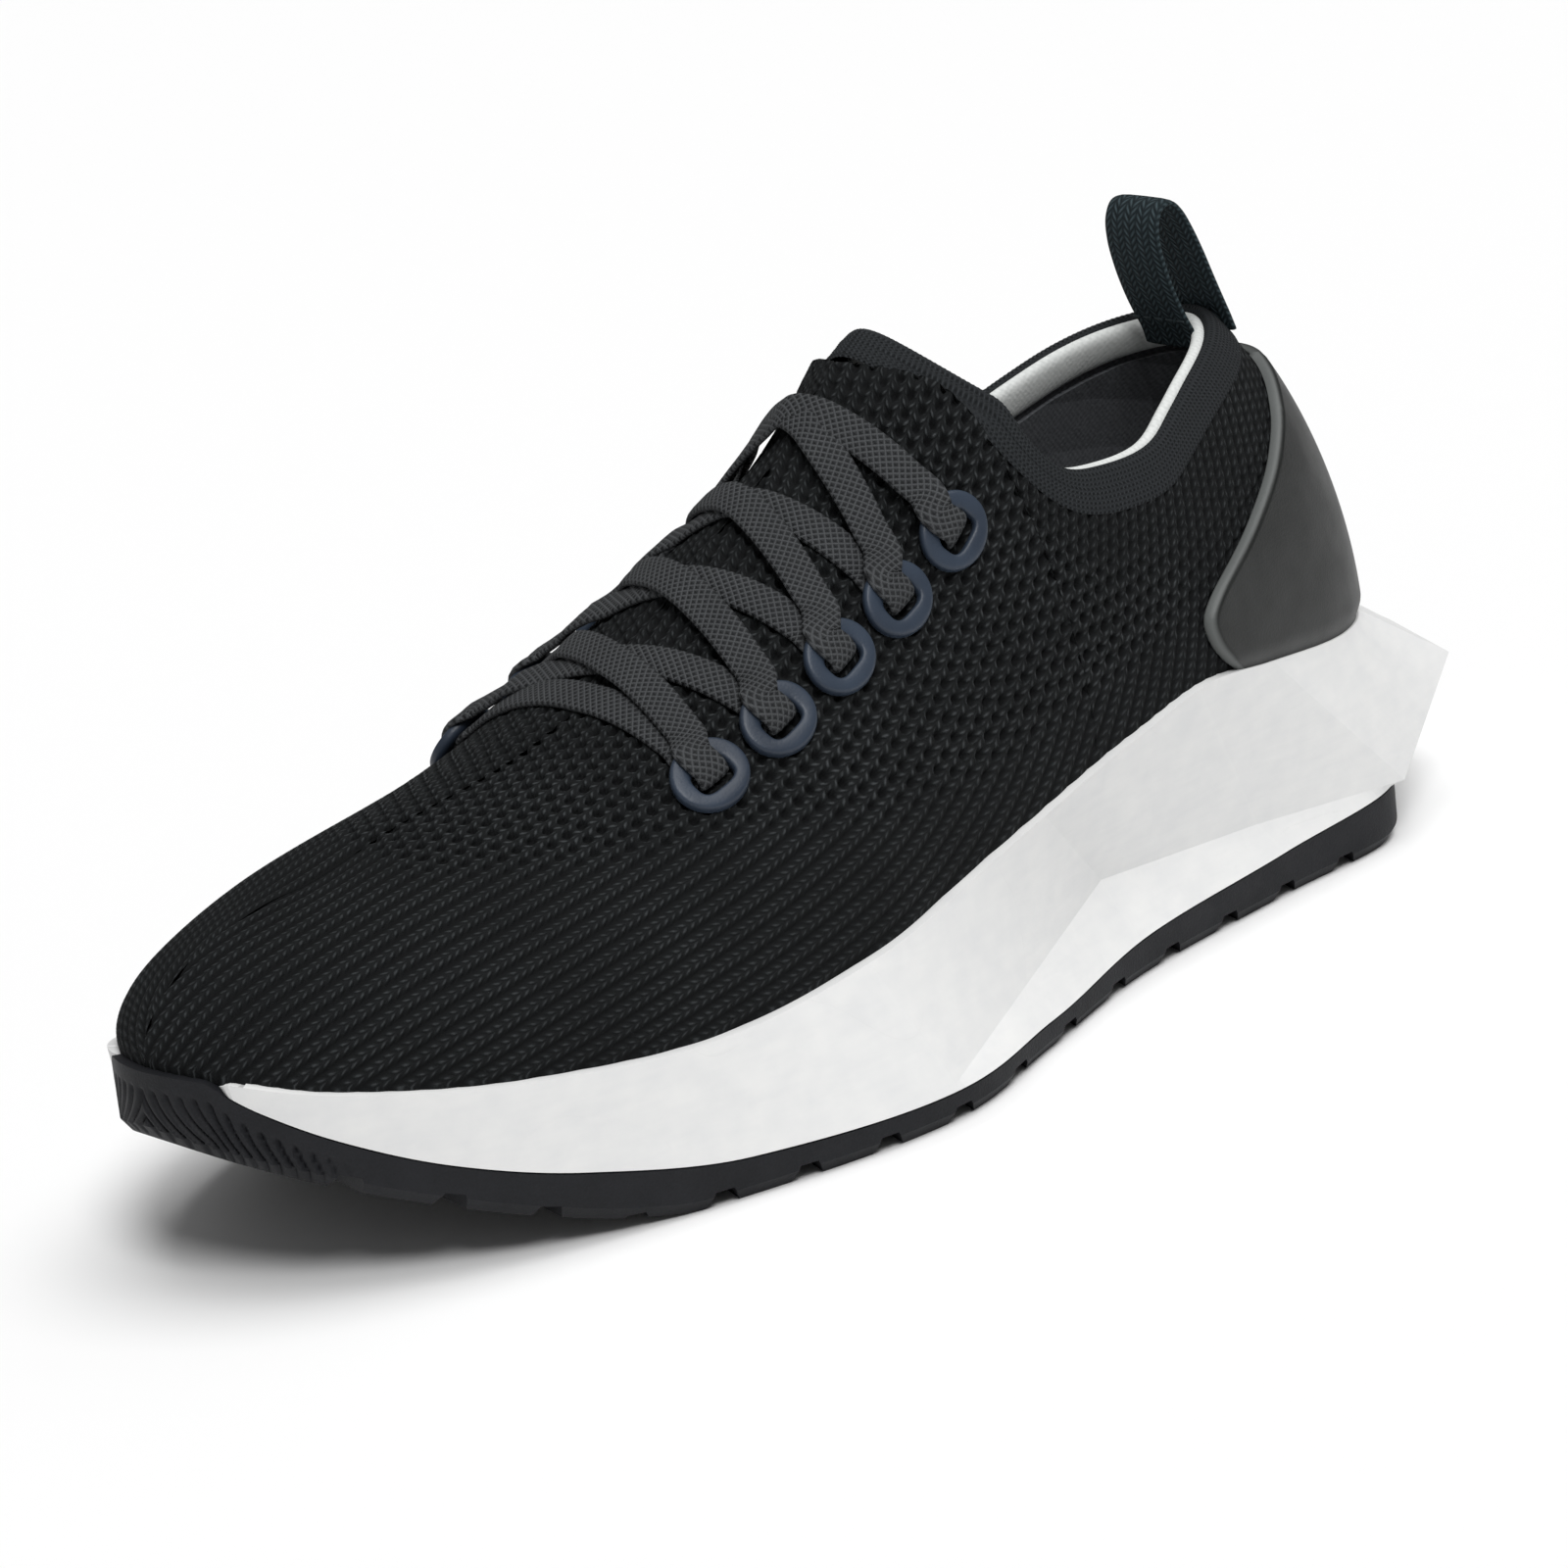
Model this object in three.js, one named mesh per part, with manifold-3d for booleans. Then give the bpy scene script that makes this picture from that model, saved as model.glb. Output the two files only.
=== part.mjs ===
// Left running shoe, one-piece knit upper on a faceted foam sole.
// Millimetres. Toe towards -X, heel towards +X, outer (lateral) side towards -Y, up is +Z.
import * as THREE from 'three';
import { mergeVertices } from 'three/addons/utils/BufferGeometryUtils.js';
import Module from 'manifold-3d';

const wasm = await Module();
wasm.setup();

// ---------------------------------------------------------------- driving sizes
const shoeLength = 298.5; // toe bumper to heel flare
const forefootWidth = 107; // across the tread at the ball
const heelStack = 29; // footbed height at the heel
const collarHeight = 101; // heel collar above the floor

const fitGap = 0.3; // between pieces that touch
const lipWidth = 1.8; // foam showing outside the knit
const rimWidth = 8; // foam wall round the footbed
const rubberWall = 2.6; // outsole side wall
const treadBase = 1.3; // rubber above the grooves
const lugDepth = 2.2;
const grooveWidth = 3.4;
const groovePitch = 16.5;
const boardThickness = 1.2;
const insoleThickness = 4.5;

const knitThickness = 2.6;
const paddingThickness = 2.6; // foam and stiffeners behind the knit
const liningThickness = 1.4;
const puffThickness = 1.2;
const eyestayThickness = 0.9;
const counterThickness = 1.5;
const ribBand = 6.5; // ribbed edge of the collar
const bindingBand = 8; // pale binding inside the collar
const bindingLip = 1.2; // binding showing above the ribs

const flexAngle = 25; // toe-up bend at the ball, degrees
const eyeletRows = 5;
const eyeletLength = 14.6;
const eyeletHeight = 12.4;
const eyeletThickness = 1.8;
const eyeletPitch = 15.6; // along the shoe
const laceWidth = 6.4;
const laceThickness = 1.1;
const laceClearance = 0.45;
const agletLength = 11;
const tabWidth = 13.5; // pull loop webbing
const tabThickness = 1.6;
const tabRise = 22.5; // loop above the collar
const tabGap = 5; // webbing left free to fold under the loop

// ---------------------------------------------------------------- last and grading
// Outlines of the sample size; every shape below reads them through these three ratios.
const sample = { length: 298.5, width: 107, stack: 29, collar: 101 };
const gradeX = shoeLength / sample.length;
const gradeY = forefootWidth / sample.width;
const gradeSole = heelStack / sample.stack;
const gradeUpper = (collarHeight - heelStack) / (sample.collar - sample.stack);

// Closed outlines run toe tip, outer side, heel tip, inner side.
const topOutline = closedOutline([
  [-146.5, -1], [-139, -20.5], [-118, -35.5], [-80, -46], [-34, -48.3],
  [0, -42.5], [34, -37.3], [80, -32], [114, -22.5], [127, -11.5],
  [132.5, 3], [127, 17.5], [114, 27.5], [80, 34], [34, 35.5],
  [0, 38], [-36, 45.5], [-80, 43.5], [-118, 32], [-139, 17],
]);
const bottomOutline = closedOutline([
  [-146.3, -0.8], [-138.2, -20.6], [-115, -36.6], [-78, -48.5], [-25, -56.9],
  [6, -47.5], [40, -36.5], [84, -30.5], [117, -26.5], [127, -14],
  [130, 3], [127, 20], [116, 31], [84, 33], [38, 32.5],
  [4, 38.5], [-29, 49.5], [-78, 46], [-115, 33.8], [-138.2, 17.4],
]);
// Edge half way down the sidewall, a valley at the waist and a flare at the heel:
// [station round the outline, x, y, z].
const waistLine = [
  [4, -29, -54.5, 13], [5, 3, -42.5, 10.5], [6, 35, -31.5, 18.5], [7, 80, -30.6, 15],
  [8, 118, -29.6, 12.5], [9, 144, -18.5, 27], [10, 152, 3, 28], [11, 144, 24.5, 27],
  [12, 118, 34.5, 12.5], [13, 80, 33, 15], [14, 35, 28.5, 18.5], [15, 3, 35.5, 10.5],
  [16, -32, 48, 13],
];
const stations = 20;
const samplesPerStation = 3;
const samples = stations * samplesPerStation;

// Heights along the sample last.
const soleTop = heightCurve([[-152, 39.8], [-130, 34.5], [-100, 29.5], [-66, 26.6], [-30, 29.5],
  [10, 36.2], [45, 43], [66, 46.3], [84, 44.2], [112, 40.8], [134, 39.8]]);
const soleEdge = heightCurve([[-148, 37], [-139.5, 31.5], [-130, 25.2], [-112, 17.4], [-95, 12],
  [-66, 7], [-30, 5.6], [10, 5.4], [44, 7.2], [81, 8.4], [118, 10.6], [134, 11.5]]);
const ground = heightCurve([[-150, 30], [-145, 26], [-135, 20.6], [-117, 12.6], [-100, 6.2],
  [-86, 2], [-74, 0], [-60, 0], [112, 0], [118, 0.6], [134, 4.6]]);
const footbed = heightCurve([[-150, 33], [-118, 23.6], [-80, 19.4], [-34, 20], [0, 22.4],
  [34, 26], [80, 28.6], [114, 29], [134, 29.6]]);
const ridge = heightCurve([[-112, 57], [-90, 61], [-65, 64.5], [-50, 69], [-36, 76], [-17, 88],
  [0, 98.5], [10, 107], [18, 112.5], [26, 116], [36, 117], [60, 117.5], [90, 110]]);
const spineY = 0;
const outer = -1; // side of the foot, as the sign of Y
const inner = 1;
const spineFront = -112;
const spineBack = 86;

const flexX = -82 * gradeX;
const flexZ = soleTop(-82) * gradeSole + fitGap;
const toeX = -151 * gradeX;

function closedOutline(points) {
  const corners = points.map(([x, y]) => new THREE.Vector3(x * gradeX, y * gradeY, 0));
  return new THREE.CatmullRomCurve3(corners, true, 'centripetal');
}

// Cubic through chosen [x, height] points, flat beyond its ends.
function heightCurve(points) {
  const slope = points.map((point, i) => {
    if (i === 0 || i === points.length - 1) return 0;
    const before = points[i - 1];
    const after = points[i + 1];
    const left = (point[1] - before[1]) / (point[0] - before[0]);
    const right = (after[1] - point[1]) / (after[0] - point[0]);
    return left * right <= 0 ? 0 : (2 * left * right) / (left + right);
  });
  return (x) => {
    if (x <= points[0][0]) return points[0][1];
    const i = points.findIndex((point) => x <= point[0]);
    if (i < 0) return points[points.length - 1][1];
    const [x0, z0] = points[i - 1];
    const [x1, z1] = points[i];
    const span = x1 - x0;
    const t = (x - x0) / span;
    const cubic = (2 * t - 3) * t * t * (z0 - z1) + z0;
    return cubic + span * t * (1 - t) * (slope[i - 1] * (1 - t) - slope[i] * t);
  };
}

const soleHeight = (curve, x) => curve(x / gradeX) * gradeSole;
const upperHeight = (x, height) => {
  const feather = soleTop(x / gradeX);
  return feather * gradeSole + (height - feather) * gradeUpper;
};

// ---------------------------------------------------------------- rings and lofts
function outlineAt(outline, turn, inset) {
  const wrapped = ((turn % 1) + 1) % 1;
  const point = outline.getPoint(wrapped);
  const along = outline.getTangent(wrapped);
  return new THREE.Vector3(point.x - along.y * inset, point.y + along.x * inset, 0);
}

function ring(outline, inset, heightAt) {
  return Array.from({ length: samples }, (_, i) => {
    const point = outlineAt(outline, i / samples, inset);
    const edge = outlineAt(outline, i / samples, 0);
    point.z = heightAt(edge.x);
    return point;
  });
}

// Closed body through rings from the bottom up, shut by a ladder of faces at each end.
function loft(rings) {
  const count = rings[0].length;
  const faces = [];
  const vertex = (level, i) => level * count + ((i + count) % count);
  rings.slice(1).forEach((_, level) => {
    for (let i = 0; i < count; i++) {
      faces.push(vertex(level, i), vertex(level, i + 1), vertex(level + 1, i + 1));
      faces.push(vertex(level, i), vertex(level + 1, i + 1), vertex(level + 1, i));
    }
  });
  const last = rings.length - 1;
  for (let i = 0; i < count / 2; i++) {
    const corners = [i, i + 1, count - i - 1, count - i];
    const [a, b, c, d] = corners.map((corner) => vertex(0, corner));
    const [e, f, g, h] = corners.map((corner) => vertex(last, corner));
    if (b !== c) faces.push(a, c, b, e, f, g);
    if (a !== d) faces.push(a, d, c, e, g, h);
  }
  const geometry = new THREE.BufferGeometry();
  const positions = rings.flat().flatMap((point) => [point.x, point.y, point.z]);
  geometry.setAttribute('position', new THREE.Float32BufferAttribute(positions, 3));
  geometry.setIndex(faces);
  return geometry;
}

function toSolid(geometry) {
  geometry.deleteAttribute('normal');
  geometry.deleteAttribute('uv');
  const merged = mergeVertices(geometry, 1e-4);
  const kept = [];
  const index = merged.index.array;
  for (let i = 0; i < index.length; i += 3) {
    const [a, b, c] = [index[i], index[i + 1], index[i + 2]];
    if (a !== b && b !== c && a !== c) kept.push(a, b, c);
  }
  const mesh = new wasm.Mesh({
    numProp: 3,
    vertProperties: new Float32Array(merged.attributes.position.array),
    triVerts: new Uint32Array(kept),
  });
  return new wasm.Manifold(mesh);
}

function toGeometry(solid) {
  const mesh = solid.getMesh();
  const geometry = new THREE.BufferGeometry();
  geometry.setAttribute('position', new THREE.BufferAttribute(new Float32Array(mesh.vertProperties), 3));
  geometry.setIndex(new THREE.BufferAttribute(new Uint32Array(mesh.triVerts), 1));
  geometry.computeVertexNormals();
  return geometry;
}

// ---------------------------------------------------------------- cutting shapes
const deepY = forefootWidth;

// Prism across the shoe from an outline in the side view.
function sidePrism(points, yFrom = -deepY, yTo = deepY) {
  const shape = new THREE.Shape(points.map(([x, z]) => new THREE.Vector2(x, z)));
  const geometry = new THREE.ExtrudeGeometry(shape, { depth: yTo - yFrom, bevelEnabled: false });
  geometry.rotateX(Math.PI / 2);
  geometry.translate(0, yTo, 0);
  return toSolid(geometry);
}

// Upright prism from an outline in the top view.
function planPrism(points, zFrom, zTo) {
  const shape = new THREE.Shape(points.map(([x, y]) => new THREE.Vector2(x, y)));
  const geometry = new THREE.ExtrudeGeometry(shape, { depth: zTo - zFrom, bevelEnabled: false });
  geometry.translate(0, 0, zFrom);
  return toSolid(geometry);
}

const farX = shoeLength;
const high = collarHeight * 2;
const slab = (xFrom, xTo) => sidePrism([[xFrom, -high], [xTo, -high], [xTo, high], [xFrom, high]]);

// Room for the foot above the collar edge, grown outward by `margin`.
function collarCutter(margin) {
  const edge = [[27, 122], [31, 110], [34.5, 98.5], [38, 92.5], [43, 88.6], [52, 87], [66, 87.2],
    [76, 91], [85, 94.6], [97, 98.2], [110, 101], [128, 104]];
  const lowered = edge.map(([x, z]) => {
    const forward = THREE.MathUtils.clamp((52 - x) / 14, 0, 1);
    return [x * gradeX - margin * forward, upperHeight(x * gradeX, z) - margin * (1 - forward ** 2)];
  });
  const [frontX] = lowered[0];
  const backX = farX;
  const backZ = lowered[lowered.length - 1][1];
  return sidePrism([[frontX, high], ...lowered, [backX, backZ], [backX, high]]);
}

// Wedge above the ball hinge that the bend closes, shrunk by `gap` on each face.
const flexHalf = THREE.MathUtils.degToRad(flexAngle / 2);

function flexWedge(gap) {
  const apexZ = flexZ + gap / Math.sin(flexHalf);
  const reach = high * Math.tan(flexHalf);
  const topZ = apexZ + high;
  return sidePrism([[flexX, apexZ], [flexX + reach, topZ], [flexX - reach, topZ]]);
}

// Everything on one side of the wedge: -1 towards the toe, +1 towards the heel.
function besideWedge(side) {
  const foot = flexX + (side * fitGap) / 2;
  const reach = side * high * Math.tan(flexHalf);
  return sidePrism([[foot, -high], [side * farX, -high], [side * farX, flexZ + high],
    [foot + reach, flexZ + high], [foot, flexZ]]);
}

// ---------------------------------------------------------------- sole
function waistRing() {
  const [firstStation] = waistLine[0];
  const [lastStation] = waistLine[waistLine.length - 1];
  return Array.from({ length: samples }, (_, i) => {
    const station = i / samplesPerStation;
    if (station < firstStation || station > lastStation) return plainWaist(i / samples);
    const from = Math.min(Math.floor(station), lastStation - 1) - firstStation;
    const [x, y, z] = [1, 2, 3].map((axis) => THREE.MathUtils.lerp(
      waistLine[from][axis],
      waistLine[from + 1][axis],
      station - firstStation - from,
    ));
    return new THREE.Vector3(x * gradeX, y * gradeY, z * gradeSole);
  });
}

// Forward of the waist line the wall is straight, so its edge lies half way down.
function plainWaist(turn) {
  const top = outlineAt(topOutline, turn, 0);
  const bottom = outlineAt(bottomOutline, turn, 0);
  top.z = soleHeight(soleTop, top.x);
  bottom.z = soleHeight(soleEdge, bottom.x);
  return top.lerp(bottom, 0.5);
}

const treadTop = (x) => soleHeight(ground, x) + lugDepth + treadBase;

function midsoleSolid() {
  const edge = (x) => soleHeight(soleEdge, x);
  const wall = rubberWall + fitGap;
  return toSolid(loft([
    ring(bottomOutline, wall, (x) => treadTop(x) + fitGap),
    ring(bottomOutline, wall, edge),
    ring(bottomOutline, 0, edge),
    waistRing(),
    ring(topOutline, 0, (x) => soleHeight(soleTop, x)),
    ring(topOutline, rimWidth, (x) => soleHeight(soleTop, x)),
    ring(topOutline, rimWidth + fitGap, (x) => soleHeight(footbed, x)),
  ]));
}

// Rubber cup with a side wall; grooves leave the lugs.
function outsoleSolid() {
  const edge = (x) => soleHeight(soleEdge, x) - fitGap;
  const cup = toSolid(loft([
    ring(bottomOutline, 1.6, (x) => soleHeight(ground, x)),
    ring(bottomOutline, 0, (x) => soleHeight(ground, x) + lugDepth),
    ring(bottomOutline, 0, edge),
    ring(bottomOutline, rubberWall, edge),
    ring(bottomOutline, rubberWall, treadTop),
  ]));
  return cup.subtract(grooves());
}

// Chevron grooves across the tread, tilted with the toe spring, and one along it.
function grooves() {
  const reach = forefootWidth;
  const cutters = [];
  const rows = Math.floor((shoeLength * 0.86) / groovePitch);
  for (let row = 0; row < rows; row++) {
    const x = toeX + shoeLength * 0.1 + row * groovePitch;
    const rise = soleHeight(ground, x + 4) - soleHeight(ground, x - 4);
    for (const side of [-1, 1]) {
      const box = new THREE.BoxGeometry(grooveWidth, reach, lugDepth * 2);
      box.translate(0, (side * reach) / 2, 0);
      const place = new THREE.Object3D();
      place.position.set(x, spineY, soleHeight(ground, x));
      place.rotation.set(0, -Math.atan2(rise, 8), side * 0.32, 'YXZ');
      place.updateMatrix();
      box.applyMatrix4(place.matrix);
      cutters.push(toSolid(box));
    }
  }
  const spine = new THREE.BoxGeometry(shoeLength * 0.7, grooveWidth, lugDepth * 2);
  spine.translate(shoeLength * 0.05, spineY, 0);
  cutters.push(toSolid(spine));
  return wasm.Manifold.union(cutters);
}

function footbedSheet(bottomLift, thickness) {
  const inset = rimWidth + fitGap * 2;
  const lift = (extra) => (x) => soleHeight(footbed, x) + bottomLift + extra;
  return toSolid(loft([
    ring(topOutline, inset, lift(0)),
    ring(topOutline, inset, lift(thickness)),
  ]));
}

// ---------------------------------------------------------------- upper surface
// `turn` goes round the outline, `up` climbs from the sole (0) to the spine (1).
const roundness = { width: 1.8, toeHeight: 2, heelHeight: 1.65 };

function spineAt(turn) {
  const outer = outlineAt(topOutline, turn, 0);
  const inner = outlineAt(topOutline, 1 - turn, 0);
  const heel = outlineAt(topOutline, 0.5, 0).x;
  const toe = outlineAt(topOutline, 0, 0).x;
  const share = ((outer.x + inner.x) / 2 - toe) / (heel - toe);
  const x = THREE.MathUtils.lerp(spineFront, spineBack, share) * gradeX;
  return new THREE.Vector3(x, spineY, upperHeight(x, ridge(x / gradeX)));
}

function skinPoint(turn, up, inset) {
  const edge = outlineAt(topOutline, turn, 0);
  const foot = outlineAt(topOutline, turn, lipWidth + inset);
  const spine = spineAt(turn);
  const angle = (up * Math.PI) / 2;
  const out = Math.max(Math.cos(angle), 0) ** (2 / roundness.width);
  const toHeel = 1 - Math.abs(2 * turn - 1);
  const power = THREE.MathUtils.lerp(roundness.toeHeight, roundness.heelHeight, toHeel ** 2);
  const climb = Math.sin(angle) ** (2 / power);
  const base = soleHeight(soleTop, edge.x) + fitGap;
  return new THREE.Vector3(
    THREE.MathUtils.lerp(spine.x, foot.x, out),
    THREE.MathUtils.lerp(spine.y, foot.y, out),
    THREE.MathUtils.lerp(base, spine.z - inset, climb),
  );
}

const skinLevels = 9;
const soleDrop = 4;

function dome(inset, drop) {
  const rings = [];
  for (let level = 0; level <= skinLevels; level++) {
    rings.push(Array.from({ length: samples }, (_, i) => {
      const point = skinPoint(i / samples, level / skinLevels, inset);
      if (level === 0) point.z -= drop;
      return point;
    }));
  }
  return toSolid(loft(rings));
}

// Space that the foam rim keeps under the upper.
function rimBlock() {
  const top = (x) => soleHeight(soleTop, x) + fitGap;
  const low = (x) => top(x) - soleDrop * 3;
  return toSolid(loft([
    ring(topOutline, rimWidth + 3, low),
    ring(topOutline, -lipWidth - 4, low),
    ring(topOutline, -lipWidth - 4, top),
    ring(topOutline, rimWidth + 3, top),
    ring(topOutline, rimWidth + 3, (x) => low(x) + 1),
  ]));
}

// Layer of the upper between two depths below the outer face, standing on the rim.
function layer(outer, inner) {
  return dome(outer, soleDrop).subtract(dome(inner, soleDrop * 2)).subtract(rimBlock());
}

const paddingDepth = knitThickness + fitGap;
const liningDepth = paddingDepth + paddingThickness + fitGap;
const wallDepth = liningDepth + liningThickness;

// Point and frame on the upper at x, `up` the side, lifted off the face.
function skinFrame(x, up, side) {
  let low = 0.02;
  let highTurn = 0.48;
  for (let step = 0; step < 30; step++) {
    const middle = (low + highTurn) / 2;
    const turn = side < 0 ? middle : 1 - middle;
    if (skinPoint(turn, up, 0).x < x) low = middle;
    else highTurn = middle;
  }
  const turn = side < 0 ? low : 1 - low;
  const here = skinPoint(turn, up, 0);
  const step = 0.004;
  const fall = skinPoint(turn, up - step, 0).sub(skinPoint(turn, up + step, 0));
  const along = skinPoint(turn + step, up, 0).sub(skinPoint(turn - step, up, 0)).normalize();
  if (along.x < 0) along.negate();
  const normal = new THREE.Vector3().crossVectors(along, fall).normalize();
  if (normal.z < 0) normal.negate();
  const down = new THREE.Vector3().crossVectors(normal, along);
  if (down.dot(fall) < 0) down.negate();
  return { here, down, along, normal };
}

// ---------------------------------------------------------------- eyelets
const topEyeletX = 15.2 * gradeX;
const eyeletUp = { top: { [outer]: 0.51, [inner]: 0.47 }, bottom: { [outer]: 0.55, [inner]: 0.46 } };

function eyeletPlace(row, side) {
  const fromTop = eyeletRows - 1 - row;
  const share = fromTop / (eyeletRows - 1);
  const up = THREE.MathUtils.lerp(eyeletUp.top[side], eyeletUp.bottom[side], share);
  return { x: topEyeletX - fromTop * eyeletPitch, up };
}

function eyeletFrame(row, side) {
  const { x, up } = eyeletPlace(row, side);
  return skinFrame(x, up, side);
}

const holeWidth = laceWidth + 2 * laceClearance;
const holeHeight = laceThickness * 2 + 2.6;
const holeShift = 0.6; // towards the sole
const barLift = laceThickness + 2 * laceClearance; // room under the ring for the lace
const ringLift = barLift + 0.5;

function ellipse(width, height, shift) {
  const curve = new THREE.EllipseCurve(0, shift, width / 2, height / 2, 0, Math.PI * 2, false, 0);
  return curve.getPoints(16).slice(0, 16);
}

function roundedSlot(width, height, shift) {
  const corner = height * 0.32;
  const points = [];
  for (const [sx, sy, start] of [[1, 1, 0], [-1, 1, 1], [-1, -1, 2], [1, -1, 3]]) {
    for (let step = 0; step <= 2; step++) {
      const angle = ((start + step / 2) * Math.PI) / 2;
      const cx = sx * (width / 2 - corner) + corner * Math.cos(angle);
      const cy = sy * (height / 2 - corner) + corner * Math.sin(angle);
      points.push(new THREE.Vector2(cx, cy + shift));
    }
  }
  return points;
}

function place(frame, lift) {
  const object = new THREE.Matrix4().makeBasis(frame.along, frame.down.clone().negate(), frame.normal);
  const handed = new THREE.Vector3().crossVectors(frame.along, frame.down.clone().negate());
  if (handed.dot(frame.normal) < 0) {
    object.makeBasis(frame.along.clone().negate(), frame.down.clone().negate(), frame.normal);
  }
  object.setPosition(frame.here.clone().addScaledVector(frame.normal, lift));
  return object;
}

// Moulded ring standing on a foot at its sole side, so that the lace passes under its bar.
function eyeletSolid(row, side) {
  const outline = new THREE.Shape(ellipse(eyeletLength, eyeletHeight, 0));
  outline.holes.push(new THREE.Path(roundedSlot(holeWidth, holeHeight, -holeShift)));
  const ringBody = new THREE.ExtrudeGeometry(outline, { depth: eyeletThickness, bevelEnabled: false });
  const foot = new THREE.BoxGeometry(eyeletLength * 0.5, 2, ringLift + eyeletThickness / 2);
  foot.translate(0, -eyeletHeight / 2 + 1.7, eyeletThickness / 2 - (ringLift + eyeletThickness / 2) / 2);
  const sunk = fitGap + 0.7;
  foot.translate(0, 0, sunk);
  const body = toSolid(ringBody).add(toSolid(foot));
  return body.transform(place(eyeletFrame(row, side), ringLift).toArray());
}

function eyeletBore(row, side) {
  const bore = new THREE.CylinderGeometry(holeWidth / 2 + 0.4, holeWidth / 2 + 0.4, 16, 20);
  bore.rotateX(Math.PI / 2);
  bore.translate(0, -holeShift, 0);
  return toSolid(bore).transform(place(eyeletFrame(row, side), 0).toArray());
}

// ---------------------------------------------------------------- lace
const overLift = ringLift + eyeletThickness + laceThickness / 2 + laceClearance;
const underLift = laceThickness / 2 + laceClearance;
const crossLift = underLift + laceThickness + 2 * laceClearance;

// Lace crossings in the order that the lace runs, from one tucked end to the other.
const laceRun = [
  { row: 4, side: outer }, { row: 3, side: inner }, { row: 2, side: outer }, { row: 1, side: inner },
  { row: 0, side: outer }, { row: 0, side: inner }, { row: 1, side: outer }, { row: 2, side: inner },
  { row: 3, side: outer }, { row: 4, side: inner },
];
const overOnLeaving = [true, false, false, false, false, true, true, true, true];
const overOnArriving = [true, true, true, true, false, false, false, false, true];

// Lace points are places on the centre line with the direction that the width takes there.
function lacePoint(frame, down, lift) {
  const at = frame.here.clone()
    .addScaledVector(frame.down, down)
    .addScaledVector(frame.normal, lift);
  return { at, wide: frame.along };
}

const barFace = -eyeletHeight / 2; // throat side of the ring
const barMiddle = barFace / 2 - 1.2;

// Round the ring's bar: over it, down the hole and back out under it.
function eyeletTurnPoints(row, side, fromTop) {
  const frame = eyeletFrame(row, side);
  const middle = holeShift + 0.2;
  const points = [
    lacePoint(frame, barFace - 1.6, overLift),
    lacePoint(frame, barMiddle, overLift),
    lacePoint(frame, middle - 1.1, overLift - 0.5),
    lacePoint(frame, middle, (overLift + underLift) / 2),
    lacePoint(frame, middle - 1.1, underLift + 0.25),
    lacePoint(frame, barMiddle, underLift),
    lacePoint(frame, barFace - 1.6, underLift),
  ];
  return fromTop ? points : points.reverse();
}

// A strap lies on the knit; where two cross, the one from the outer ring's top is above.
function strapPoints(from, to, leavesOver, arrivesOver) {
  const start = eyeletPlace(from.row, from.side);
  const end = eyeletPlace(to.row, to.side);
  const highOnOuter = from.side === outer ? leavesOver : arrivesOver;
  const span = eyeletFrame(from.row, from.side).here.distanceTo(eyeletFrame(to.row, to.side).here);
  const clear = (eyeletHeight / 2 + laceWidth * 0.6) / span; // share of the span at each ring
  const steps = 12;
  const points = [];
  for (let step = 0; step <= steps; step++) {
    const share = THREE.MathUtils.lerp(clear, 1 - clear, step / steps);
    const across = THREE.MathUtils.lerp(from.side, to.side, share);
    const x = THREE.MathUtils.lerp(start.x, end.x, share);
    const ringUp = THREE.MathUtils.lerp(start.up, end.up, share);
    const up = Math.min(1 - (1 - ringUp) * Math.abs(across), 0.985);
    const frame = skinFrame(x, up, across < 0 ? outer : inner);
    const over = share < 0.5 ? leavesOver : arrivesOver;
    points.push(lacePoint(frame, 0, strapLift(Math.abs(across), over, highOnOuter)));
  }
  return points;
}

function strapLift(distance, over, highInMiddle) {
  const middle = highInMiddle ? crossLift : underLift;
  const settled = over ? crossLift : underLift;
  const lift = THREE.MathUtils.lerp(middle, settled, THREE.MathUtils.smoothstep(distance, 0.4, 0.62));
  const end = over ? overLift : underLift;
  return THREE.MathUtils.lerp(lift, end, THREE.MathUtils.smoothstep(distance, 0.62, 1));
}

// Last end: over the ring, down its hole, through the knit and along the inside of it.
function tailPoints(row, side) {
  const frame = eyeletFrame(row, side);
  const inside = -(paddingDepth + eyestayThickness + laceThickness + laceClearance);
  return [
    lacePoint(frame, barFace - 1.6, overLift),
    lacePoint(frame, barMiddle, overLift),
    lacePoint(frame, holeShift - 0.9, overLift - 0.5),
    lacePoint(frame, holeShift, ringLift),
    lacePoint(frame, holeShift, 0),
    lacePoint(frame, holeShift, inside + 1.4),
    lacePoint(frame, holeShift + 1.2, inside - 0.6),
    lacePoint(frame, holeShift + 5, inside - 1.8),
    lacePoint(frame, holeShift + 10, inside - 4),
  ];
}

function lacePath() {
  const path = tailPoints(eyeletRows - 1, outer).reverse();
  const straps = laceRun.length - 1;
  for (let run = 0; run < straps; run++) {
    const to = laceRun[run + 1];
    path.push(...strapPoints(laceRun[run], to, overOnLeaving[run], overOnArriving[run]));
    if (run < straps - 1) path.push(...eyeletTurnPoints(to.row, to.side, overOnArriving[run]));
  }
  path.push(...tailPoints(eyeletRows - 1, inner));
  return path;
}

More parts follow.
